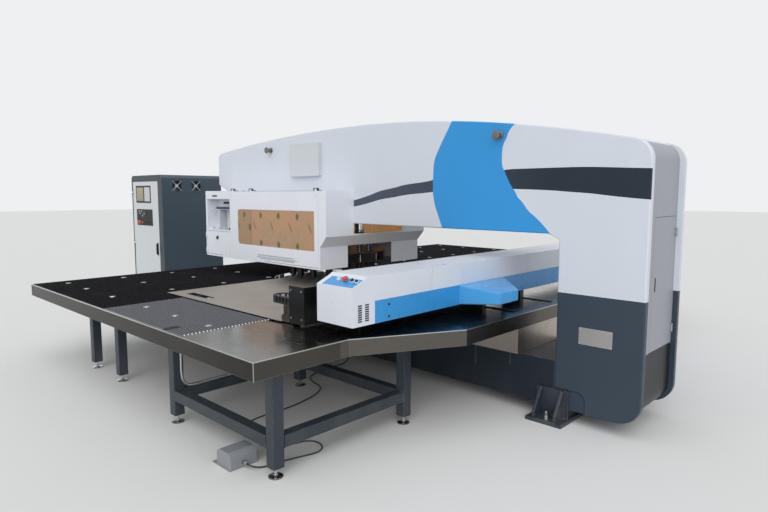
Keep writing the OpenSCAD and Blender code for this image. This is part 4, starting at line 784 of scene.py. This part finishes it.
def make_hoods():
    def on_front(m, e):
        return abs(m.y) > HOOD_FACE

    def corner(m, e):
        return m.x < -2.4195 and (on_front(m, e) or m.z > 1.7395)

    def outside(m, e):
        return (on_front(m, e) or m.x > -0.2785 or m.z > 1.7395) and m.x > -2.4
    for side in ("near", "far"):
        dress("hood_" + side, "cover_white", 0.0025, outside, 2, 40, 0.1, first=(0.014, corner, 4, 40, 0.3))
        dress("hatch_" + side, "cover_white", 0.004, on_front, 2, 40, 0.05)
    coat_node("window_near", "protective_film")
    coat_node("window_far", "far_protective_film")

    def lock_coat(c):
        return int(c.y < -0.7265 and abs(c.x + 2.152) < 0.03 and abs(c.z - 1.197) < 0.04)
    dress("air_door", ["cover_white", "black_plastic"], 0.003, on_front, 2, 40, 0.1, coat_of=lock_coat)
    dress("hood_hinges", "black_paint", 0.002, shortest=0.01)

    pins = Shape()
    for side in (-1, 1):
        y = side * 0.722
        for x in (-1.8, -1.44, -0.33):
            pins.rod((x - 0.034, y, 1.76), (x + 0.034, y, 1.76), 0.0062, sides=14, bevel=0.001)
        pins.rod((-1.62, side * 0.7, 1.7395), (-1.62, side * 0.7, 1.747), 0.008, sides=14, bevel=0.001)
    pins.finish("hood_hinge_pins", "tool_steel", on="hood_hinges", slot="black_paint")

    # Dark strips along the grip recess's top and bottom: painted shadow.
    grip = Shape()
    grip.block((-1.329, -0.7266, 1.0445), (-0.7, -0.725, 1.0475), 0.0006, 1)
    grip.block((-1.3, -0.7266, 1.0095), (-0.69, -0.725, 1.013), 0.0006, 1)
    grip.finish("hatch_grip_shadow_lines", "foot_rubber", on="hatch_near", slot="black_plastic")

    louvre = Shape()
    louvre.block((-2.259, -0.7245, 1.673), (-2.148, -0.7215, 1.689), 0.001)
    for k in range(3):
        rise = 0.0045 * k
        louvre.block((-2.257, -0.7252, 1.6755 + rise), (-2.15, -0.7238, 1.678 + rise), 0.0004)
    louvre.finish("hood_slot_insert", "black_plastic", on="hood_near", slot="black_plastic")

    unit = Shape()  # shelf and partition, black box with knobs, filters, valves and tube
    unit.block((-2.319, -0.703, 1.522), (-1.8805, -0.5765, 1.528), 0.001)
    unit.block((-2.144, -0.7, 1.2855), (-2.139, -0.5765, 1.522), 0.001)
    unit.coat = 1
    unit.block((-2.05, -0.7, 1.59), (-1.8805, -0.5765, 1.615), 0.002)
    for x in (-2.02, -1.965, -1.91):
        unit.rod((x, -0.7, 1.6025), (x, -0.708, 1.6025), 0.007, sides=12, bevel=0.001)
    for x in (-2.219, -2.049):
        at = shift(x, -0.626, 1.285)
        unit.coat = 3
        unit.turned([(0, 0), (17, 0.5), (24, 7), (26, 16), (26, 60), (0, 60)], at, 24)
        unit.coat = 0
        unit.turned([(0, 60), (30, 60), (32, 63), (32, 77), (30, 80), (0, 80)], at, 24)
        unit.turned([(0, 80), (26, 80), (26, 150), (22, 152), (22, 170), (26, 172), (26, 236.5),
                     (0, 236.5)], at, 24)
    for x in (-2.299, -2.181, -2.063, -1.945):
        unit.coat = 1 if x > -2 else 0
        unit.turned([(0, 0), (8.5, 0), (9, 2), (13.5, 21), (14, 28), (12, 30), (0, 30)],
                    shift(x, -0.686, 1.285), 16)
    unit.coat = 2
    unit.rod((-2.21, -0.686, 1.542), (-1.8805, -0.686, 1.542), 0.014, sides=20, bevel=0.002)
    unit.coat = 1
    for x in (-2.208, -2.04, -1.888):
        unit.rod((x - 0.005, -0.686, 1.542), (x + 0.005, -0.686, 1.542), 0.0155, sides=20, bevel=0.001)
    unit.finish("air_unit_detailed", ["grey_plastic", "black_plastic", "navy_plastic", "pale_bowl"],
                "air_unit")


# Turret

def station(turn, radius=0.0):
    """A place on the turret, turned about its axis."""
    return shift(TURRET_X, 0) @ Matrix.Rotation(turn, 4, "Z") @ shift(radius, 0)


def make_turret():
    def rim(m, e):
        return (m.x - TURRET_X) ** 2 + m.y ** 2 > 0.35
    dress("turret_housings", "black_paint", 0.004, shortest=0.03)
    dress("upper_turret", "dark_tool_steel", 0.003, rim, 2, 40)
    dress("lower_turret", "dark_tool_steel", 0.003, rim, 2, 40)
    dress("ram_cylinder", "machined_steel", 0.004, shortest=0.01)
    dress("ram", "bright_steel", 0.003, shortest=0.003)
    punches, springs, dies, keys = Shape(), Shape(), Shape(), Shape()
    for k in range(STATIONS):
        turn = 2 * math.pi * k / STATIONS
        at = station(turn, 0.45)
        # The punch holders' lower parts take the dark steel: painted shade under the hood.
        punches.coat = 1
        punches.turned([(0, 800.5), (20, 800.5), (22, 803), (22, 820), (36, 826), (38, 829), (38, 900),
                        (36.5, 902), (36.5, 910), (38, 912), (38, 975), (37.5, 985), (37.5, 1084.5),
                        (0, 1084.5)], at, 24)
        punches.coat = 0
        punches.turned([(0, 1084.5), (14.5, 1084.5), (14, 1234.5), (14, 1235.2), (32, 1235.2),
                        (34, 1237.5), (34, 1248), (31, 1251), (12, 1251), (10, 1248.5), (0, 1248.5)], at, 24)
        springs.coil(0.0265, 0.0034, 0.1488, 6, at @ shift(0, 0, 1.0856))
        dies.turned([(0, 774.5), (10, 774.5), (12, 775.5), (41, 775.5), (43, 773.5), (43, 752),
                     (45, 750.5), (45, 745.8), (0, 745.8)], at, 24)
        keys.block((0.594, -0.0055, 0.996), (0.6022, 0.0055, 1.072), 0.001, 1,
                   station(turn + math.pi / STATIONS))
    punches.finish("punch_holders_turned", ["machined_steel", "dark_tool_steel"], "punches")
    springs.finish("punch_springs_wound", "spring_enamel", "punch_springs", smooth=60)
    dies.finish("dies_turned", "machined_steel", "dies")
    keys.finish("station_keys", "bright_steel", on="upper_turret")


# Table

BALLS = [(x / 1000, y / 1000) for x in (-2545, -2030, -1390, -685, -185, 315)
         for y in range(-2265, 4028, 572) if abs(y) > 480 and math.hypot(x + 935, y) > 690]


def make_brushes():
    """Bristle tufts in rows: a grid of small cells, each drawn up to a narrower top."""
    wide = 3.189

    def taken(c):
        under_turret = math.hypot(c.x - TURRET_X, c.y) < 0.655
        over_rail = c.x > 0.218 and abs(abs(c.y) - 0.3) < 0.045
        over_slot = abs(c.x - 0.195) < 0.034 and abs(c.y + 2.472) < 0.055
        return (under_turret or over_rail or over_slot
                or any(math.hypot(c.x - x, c.y - y) < 0.037 for x, y in BALLS))

    for name, y0, y1 in (("brush_near", -2.539, -0.4205), ("brush_middle", -0.4205, 0.4205),
                         ("brush_far", 0.4205, 2.3), ("brush_far_end", 2.3, 4.184)):
        shape = Shape()
        made = bmesh.ops.create_grid(shape.bm, x_segments=round(wide / TUFT),
                                     y_segments=round((y1 - y0) / TUFT), size=0.5)["verts"]
        bmesh.ops.scale(shape.bm, vec=(wide, y1 - y0, 1), verts=made)
        middle = (-2.739 + wide / 2, (y0 + y1) / 2, TABLE_TOP + 0.0001)
        bmesh.ops.translate(shape.bm, vec=middle, verts=made)
        gone = [f for f in shape.bm.faces if taken(f.calc_center_median())]
        bmesh.ops.delete(shape.bm, geom=gone, context="FACES")
        tops = shape.bm.faces[:]
        rims = bmesh.ops.inset_individual(shape.bm, faces=tops, thickness=0.0062, depth=0.0046,
                                          use_even_offset=True)["faces"]
        for faces, coat in ((rims, 1), (tops, 0)):
            for face in faces:
                middle = face.calc_center_median()
                # Brushes of the front strip take the lighter bristles: painted sheen.
                lit_strip = middle.x > LIT_STRIP_X and middle.y < -1.84
                face.material_index = coat + 2 * lit_strip
        shape.finish(name, ["bristle", "bristle_base", "bristle_lit", "bristle_lit_base"],
                     "brush_field", smooth=20)
    rivets = Shape()
    for x in (LIT_STRIP_X, 0.4495):
        for k in range(74):
            at = shift(x, -2.515 + TUFT * k, TABLE_TOP)
            rivets.turned([(0, 5.2), (3.6, 4.6), (5.6, 1), (5.6, 0)], at, 8)
    rivets.finish("brush_strip_rivets", "bright_steel", on="table_near", smooth=50)


def make_table():
    for node in ("table_near", "table_far", "table_centre"):
        dress(node, "brushed_apron", 0.003, lambda m, e: m.z > 0.768 or e.calc_length() < 0.2,
              2, 25, 0.05)
    dress("table_legs", "leg_slate", 0.006, None, 2, 60, 0.07)
    dress("cross_rails", "ground_steel", 0.002, shortest=0.05)
    make_brushes()

    balls = Shape()
    for x, y in BALLS:
        balls.coat = 0
        balls.turned([(27.5, 769.2), (27, 772.2), (25.5, 773), (16.5, 773), (14.5, 771.8), (13.5, 769)],
                     shift(x, y), 16)
        balls.coat = 1
        balls.made(bmesh.ops.create_uvsphere(balls.bm, u_segments=14, v_segments=8, radius=0.0127,
                                             matrix=shift(x, y, 0.7633))["verts"])
    balls.finish("ball_units_turned", ["zinc_steel", "bright_steel"], "ball_units", smooth=50)

    slot = Shape()
    for low, high in (((0.163, -2.524), (0.169, -2.42)), ((0.221, -2.524), (0.227, -2.42)),
                      ((0.169, -2.524), (0.221, -2.518)), ((0.169, -2.426), (0.221, -2.42))):
        slot.block((*low, TABLE_TOP), (*high, TABLE_TOP + 0.004), 0.0015)
    slot.finish("hand_slot_rim", "black_plastic", on="table_near", slot="black_plastic")

    feet = Shape()
    near = [(x, y) for x in (-0.005, 1.235) for y in (-2.36, -1.2)] + [(-1.885, -2.25), (-1.285, -2.25)]
    far = [(x, y) for x in (-2.635, -0.005, 1.235) for y in (4.0, 2.6, 1.2)] + [(-2.635, -0.9)]
    for x, y in near + far:
        at = shift(x, y)
        feet.coat = 1
        feet.turned([(0, 0.3), (44, 0.3), (45.5, 1.5), (45.5, 4.2), (0, 4.2)], at, 28)
        feet.coat = 0
        feet.turned([(0, 4.2), (44.5, 4.2), (46, 5.2), (46, 7.2), (44, 8.5), (18, 13.5), (14, 16.5),
                     (13.5, 23), (9.8, 24.5), (9.8, 48), (0, 48)], at, 28)
        feet.rod((x, y, 0.048), (x, y, 0.0597), 0.017, sides=6, bevel=0.001)
    feet.finish("levelling_feet_turned", ["bright_steel", "foot_rubber"], "levelling_feet")


CONDUIT = [(46.3, -2345, 683.7), (46.3, -2345, 600), (46.3, -2345, 480), (46.3, -2344, 380),
           (46.3, -2330, 320), (44, -2295, 286), (40, -2240, 274), (30, -2160, 271.3), (22, -2060, 271.3),
           (20, -1900, 271.3), (20, -1700, 271.3), (20, -1500, 271.3), (20, -1240, 271.3)]


def make_conduit():
    """The hose, ribs along its curve and a sleeve at each end."""
    lay_line("conduit_hose", CONDUIT, 0.0098, "zinc_steel", "conduit")
    rings = Shape()
    points = [Vector(p) / 1000 for p in CONDUIT]
    rib_pitch = 0.0095
    for k, (start, end) in enumerate(zip(points, points[1:])):
        before, after = points[max(k - 1, 0)], points[min(k + 2, len(points) - 1)]
        a, b = start + (end - before) / 6, end - (after - start) / 6
        count = max(1, round((end - start).length / rib_pitch))
        for n in range(count):
            t = n / count
            at = ((1 - t) ** 3 * start + 3 * t * (1 - t) ** 2 * a + 3 * t * t * (1 - t) * b
                  + t ** 3 * end)
            lead = (1 - t) ** 2 * (a - start) + 2 * t * (1 - t) * (b - a) + t * t * (end - b)
            rings.turned([(9.5, -2.8), (11, -1.8), (11, 1.8), (9.5, 2.8)], facing(lead, at), 10)
    rings.finish("conduit_ribs", "zinc_steel", on="conduit", smooth=60)
    ends = Shape()
    for at, way in ((points[0], points[1] - points[0]), (points[-1], points[-2] - points[-1])):
        ends.turned([(0, 0.4), (13.5, 0.4), (14.5, 1.5), (14.5, 10), (12.5, 12), (12.5, 22),
                     (11.2, 24), (0, 24)], facing(way, at), 20)
    ends.finish("conduit_ends", "zinc_steel", on="conduit")


# Beam, carriage and clamps

def on_panel(across, up=BUTTON_ROW):
    """A place on the end box's sloping panel, in millimetres, with Z as its outward direction."""
    corner = shift(1.065, -1.881, 1.117) @ Matrix.Rotation(PANEL_SLOPE, 4, "X")
    return corner @ shift(across / 1000, up / 1000)


def make_controls():
    plate = Shape()
    plate.block((0, 0, 0.0001), (0.292, 0.102, 0.002), 0.0008, 1, on_panel(46, 6))
    for across in (54, 330):
        for up in (14, 100):
            plate.turned([(0, 3.2), (2.2, 3), (3.2, 2), (0, 2)], on_panel(across, up), 12)
    plate.finish("control_plate", "blue_paint", on="beam", slot="blue_paint")

    collars = Shape()
    for across, radius in ((145, 15), (210, 17), (275, 15), (316, 13)):
        collars.turned([(11.5, 2), (radius, 2), (radius, 5.5), (radius - 1.5, 6.5), (11.5, 6.5),
                        (11.5, 2)], on_panel(across), 28)
    collars.finish("control_collars", "black_plastic", on="beam", slot="black_plastic")

    stop = Shape()
    stop.turned([(0, 6.2), (10, 6.2), (10, 13.5), (17.2, 13.5), (20.5, 17), (21, 20.5), (19.5, 23.5),
                 (16.5, 25.8), (15.2, 27.2), (12.5, 28.4), (0, 28.5)], on_panel(210), 36)
    stop.finish("beam_estop_mushroom", "red_plastic", "beam_estop")
    for node, across, coat in (("start_button", 145, "ivory_plastic"),
                               ("reset_button", 316, "black_plastic")):
        button = Shape()
        button.turned([(0, 5.2), (9.8, 5.2), (9.8, 16.2), (9, 17), (7.8, 17.2), (7, 16.6), (0, 16.4)],
                      on_panel(across), 28)
        button.finish(node + "_cap", coat, node)
    knob, at = Shape(), on_panel(275)
    knob.turned([(0, 2.2), (10.5, 2.2), (10.5, 11), (9.8, 12.2), (0, 12.2)], at, 28)
    knob.block((-0.0038, -0.0125, 0.0118), (0.0038, 0.0125, 0.022), 0.0014, 2, at)
    knob.coat = 1
    knob.block((-0.0006, 0.004, 0.0219), (0.0006, 0.0118, 0.0222), 0, 1, at)
    knob.finish("mode_selector_knob", ["black_plastic", "ivory_plastic"], "mode_selector")


def make_beam():
    def outer(m, e):
        box_middle = Vector((1.2375, -1.78 if m.y < 0 else 2.8, 1.0))
        return all(f.normal.dot(m - box_middle) > 0.01 for f in e.link_faces) and abs(m.y - 0.4) > 1.2
    coat_node("beam", "black_paint")
    dress("beam_cover", "beam_white", 0.003, shortest=0.3)
    dress("beam_skirt", ["blue_paint", "black_plastic"], 0.0012, shortest=0.3,
          coat_of=lambda c: int(c.x > 1.4133 and c.y < -1.5))
    dress("drive_pod", "drive_cover_blue", 0.01, lambda m, e: m.x > 1.45, 3, 25, 0.1)
    dress("end_boxes", "beam_white", 0.013, outer, 3, 15, 0.05)
    vents = Shape()
    for y in (-1.815, -1.752):
        vents.block((1.4032, y - 0.0172, 0.8925), (1.4058, y + 0.0172, 1.002), 0.0004, 1)
        for k in range(8):
            z = 0.896 + 0.0146 * k
            vents.block((1.405, y - 0.018, z - 0.0052), (1.4104, y + 0.0185, z + 0.0052), 0.0006, 1)
    vents.finish("vent_inserts", "black_plastic", on="beam", slot="black_plastic")


def make_carriage():
    cover = Shape()
    cover.block((CARRIAGE_X, -1.45, 0.79), (1.031, 0.15, 1.06), 0.005, 3)
    for z in GUIDE_ZS:
        cover.block((1.0015, -1.444, z - 0.018), (1.0425, 0.144, z + 0.018), 0.002)
    cover.finish("carriage_cover", "carriage_black", "carriage")
    nose = Shape()
    outline = [(CARRIAGE_X, -1.85), (0.885, -1.85), (0.885, -1.449), (0.873, -1.449), (0.873, -1.838),
               (CARRIAGE_X, -1.838)]
    nose.prism([(x, y, 0.79) for x, y in outline], (0, 0, 0.27), 0.002)
    nose.finish("carriage_end_plates", "carriage_black", "carriage")
    bar = Shape()
    bar.block((0.7155, -1.838, 0.7905), (0.795, -1.4495, 0.975), 0.003)
    for y in (-1.64, -1.55):
        for z in (0.83, 0.93):
            bar.turned([(0, 4), (4.5, 4), (5.5, 5.5), (9.5, 5.5), (10.5, 4.5), (10.5, 0), (0, 0)],
                       facing((-1, 0, 0), (0.7155, y, z)), 16)
    bar.finish("carriage_clamp_bar", "clamp_steel", "carriage")
    clamps = Shape()
    for y in CLAMP_YS:
        clamps.block((0.56, y - 0.035, 0.7765), (0.7155, y + 0.035, 0.7805), 0.0008)
        for side in (-0.03, 0.03):
            clamps.block((0.6, y + side - 0.005, 0.7805), (0.7155, y + side + 0.005, 0.9015), 0.002)
        clamps.rod((0.665, y - 0.037, 0.8605), (0.665, y + 0.037, 0.8605), 0.008, bevel=0.001)
    clamps.finish("sheet_clamp_bodies", "clamp_steel", "carriage")
    bolts = Shape()
    for x in (0.74, 0.86):
        for z in (0.83, 1.03):
            bolts.turned([(0, 5), (4, 5), (5, 3.5), (9, 5), (9.5, 4), (9.5, 0), (0, 0)],
                         facing(NEAR, (x, -1.85, z)), 16)
    for y in (-1.38, -1.1, -0.8, -0.45, -0.05):
        for x in (0.745, 1.01):
            bolts.turned([(0, 3), (4, 3), (5, 2), (9, 3), (9.5, 2.5), (9.5, 0), (0, 0)],
                         facing((0, 0, 1), (x, y, 1.06)), 16)
    bolts.finish("carriage_bolts", "tool_steel", on="carriage", slot="tool_steel")
    for jaw in "ab":
        dress("clamp_jaw_" + jaw, "clamp_steel", 0.002, shortest=0.012)
    dress("drag_chain", "chain_plastic", 0.0015, None, 1, 50, 0.015)
    coat_node("workpiece_sheet", "mill_sheet_warm_reflection")

    x, y = CHAIN
    turns = [math.pi / 2 + math.pi * k / 5 for k in range(1, 5)]
    pins = Shape()
    straight = [(x + 0.039 * k, y + CHAIN_BEND * side) for side in (-1, 1) for k in range(6)]
    bend = [(x + CHAIN_BEND * math.cos(turn), y + CHAIN_BEND * math.sin(turn)) for turn in turns]
    for at in straight + bend:
        pins.rod((*at, 0.9048), (*at, 0.9632), 0.0055, sides=12, bevel=0.0008)
    pins.finish("drag_chain_pins", "tool_steel", on="drag_chain", slot="tool_steel")


# Cabinet and foot switch

def make_cabinet():
    # The front faces take the darker slate: painted shade.
    dress("cabinet", ["cabinet_slate", "shaded_cabinet_front_slate"], 0.004, shortest=0.15,
          coat_of=lambda c: int(c.y < -0.7135))

    def door_coat(c):
        on_handle = c.x > -3.79 and c.y < -0.7145
        on_hinge = c.x < -4.4972
        return 1 if on_handle else 2 * int(on_hinge)
    dress("cabinet_door", ["cabinet_door_white", "black_plastic", "zinc_steel"], 0.003,
          shortest=0.02, over=40, coat_of=door_coat)

    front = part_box("operator_panel")[0].y + 0.008  # the collars stand 8 mm out from the panel
    panel = Shape()
    panel.block((-4.388, front, 1.579), (-3.926, front + 0.0045, 1.818), 0.0015)
    panel.block((-4.389, front, 1.26), (-3.893, front + 0.0045, 1.487), 0.0015)
    panel.coat = 1
    panel.block((-4.362, front - 0.0012, 1.603), (-4.15, front + 0.001, 1.794), 0.0008, 1)
    pale_keys = ((0, 1), (0, 4), (1, 2), (1, 7), (2, 5))
    for row in range(3):
        for col in range(10):
            panel.coat = 4 if (row, col) in pale_keys else 5
            x, z = -4.345 + 0.0268 * col, 1.458 - 0.031 * row
            panel.block((x, front - 0.0035, z - 0.011), (x + 0.021, front + 0.001, z + 0.011), 0.0022)
    stop_x = -4.307
    for k in range(4):
        panel.coat = 3 if k == 0 else 5
        panel.turned([(0, 7.9), (13, 7.9), (15, 6.6), (15, 3), (17, 2.2), (17, 0), (0, 0)],
                     facing(NEAR, (stop_x + 0.095 + 0.075 * k, front, 1.301)), 24)
    panel.coat = 4
    panel.block((-4.118, front - 0.0008, 1.6), (-3.948, front + 0.001, 1.797), 0.0006, 1)
    panel.coat = 2
    for k in range(6):
        z = 1.768 - 0.031 * k
        for x in (-4.108, -4.056, -4.004):
            panel.block((x, front - 0.0028, z), (x + 0.044, front + 0.001, z + 0.022), 0.002)
    at = facing(NEAR, (stop_x, front, 1.301))
    panel.coat = 4
    panel.turned([(18.8, -0.5), (26, -0.5), (26, 4), (19.5, 6), (18.8, 6), (18.8, -0.5)], at, 36)
    panel.finish("operator_panel_detailed",
                 ["black_plastic", "screen_glass", "pale_plastic", "orange_plastic", "grey_plastic",
                  "chain_plastic"], "operator_panel")

    stop = Shape()
    stop.turned([(0, 6.6), (18, 6.6), (18, 12), (22.5, 13), (26.8, 18), (27, 21.5), (24.5, 25.5),
                 (20.5, 28.5), (18, 29.6), (0, 29.8)], at, 36)
    stop.finish("cabinet_estop_mushroom", "red_plastic", "cabinet_estop")



def make_fans():
    guards = Shape()
    for y, node in ((-0.494, "fan_front"), (-0.211, "fan_rear")):
        at = facing((1, 0, 0), (-3.5825, y, FAN_Z))
        guards.coat = 0
        for radius in (32, 51, 69):
            guards.turned(ring(radius, 1.6), at, 32)
        guards.coat = 1
        for k in range(4):
            turn = math.pi / 4 + k * math.pi / 2
            lean = Vector((0, math.cos(turn), math.sin(turn)))
            middle = Vector((-3.5845, y, FAN_Z))
            guards.rod(middle + 0.004 * lean, middle + 0.0925 * lean, 0.0044, sides=8)
        guards.rod((-3.585, y, FAN_Z), (-3.5808, y, FAN_Z), 0.016, sides=24, bevel=0.001)
        guards.coat = 0
        guards.turned([(70.5, -2.2), (70.5, 2.2), (77.5, 2.2), (77.5, -2.2), (70.5, -2.2)], at, 40)
        a, b = 0.0775, 0.082  # inner and outer half width of the guard's square rim
        for y0, z0, y1, z1 in ((-b, -b, -a, b), (a, -b, b, b), (-a, -b, a, -a), (-a, a, a, b)):
            guards.block((-3.5849, y + y0, FAN_Z + z0), (-3.5802, y + y1, FAN_Z + z1), 0.0008, 1)
        fan = Shape()
        hub = facing((1, 0, 0), (-3.607, y, FAN_Z))
        fan.turned([(0, 13), (19, 13), (23, 10), (24, 6), (24, -13), (0, -13)], hub, 28)
        fan.coat = 1
        for k in range(7):
            blade = hub @ Matrix.Rotation(2 * math.pi * k / 7, 4, "Z") @ Matrix.Rotation(0.55, 4, "X")
            fan.block((0.02, -0.0165, -0.0011), (0.0655, 0.0165, 0.0011), 0.0009, 1, blade)
        fan.finish(node + "_blades", ["pale_plastic", "chain_plastic"], node)
    guards.finish("fan_guard_grilles", ["cabinet_slate", "pale_plastic"], "fan_guards")


def make_foot_switch():
    dress("foot_switch", "hammered_grey", 0.003, shortest=0.02, over=25)
    dress("treadle", "tread_metal", 0.0012, shortest=0.01)
    gland = Shape()
    gland.turned([(0, 0), (13.2, 0), (13.2, 10), (11.5, 12), (11, 22), (9.5, 32), (7.2, 40),
                  (5.4, 41), (0, 41)], facing((1, 0, 0), (0.985, -2.4225, 0.032)), 20)
    gland.finish("foot_switch_gland", "black_plastic", on="foot_switch", slot="black_plastic")


make_frame()
make_hoods()
make_turret()
make_table()
make_conduit()
make_beam()
make_controls()
make_carriage()
make_cabinet()
make_fans()
make_foot_switch()
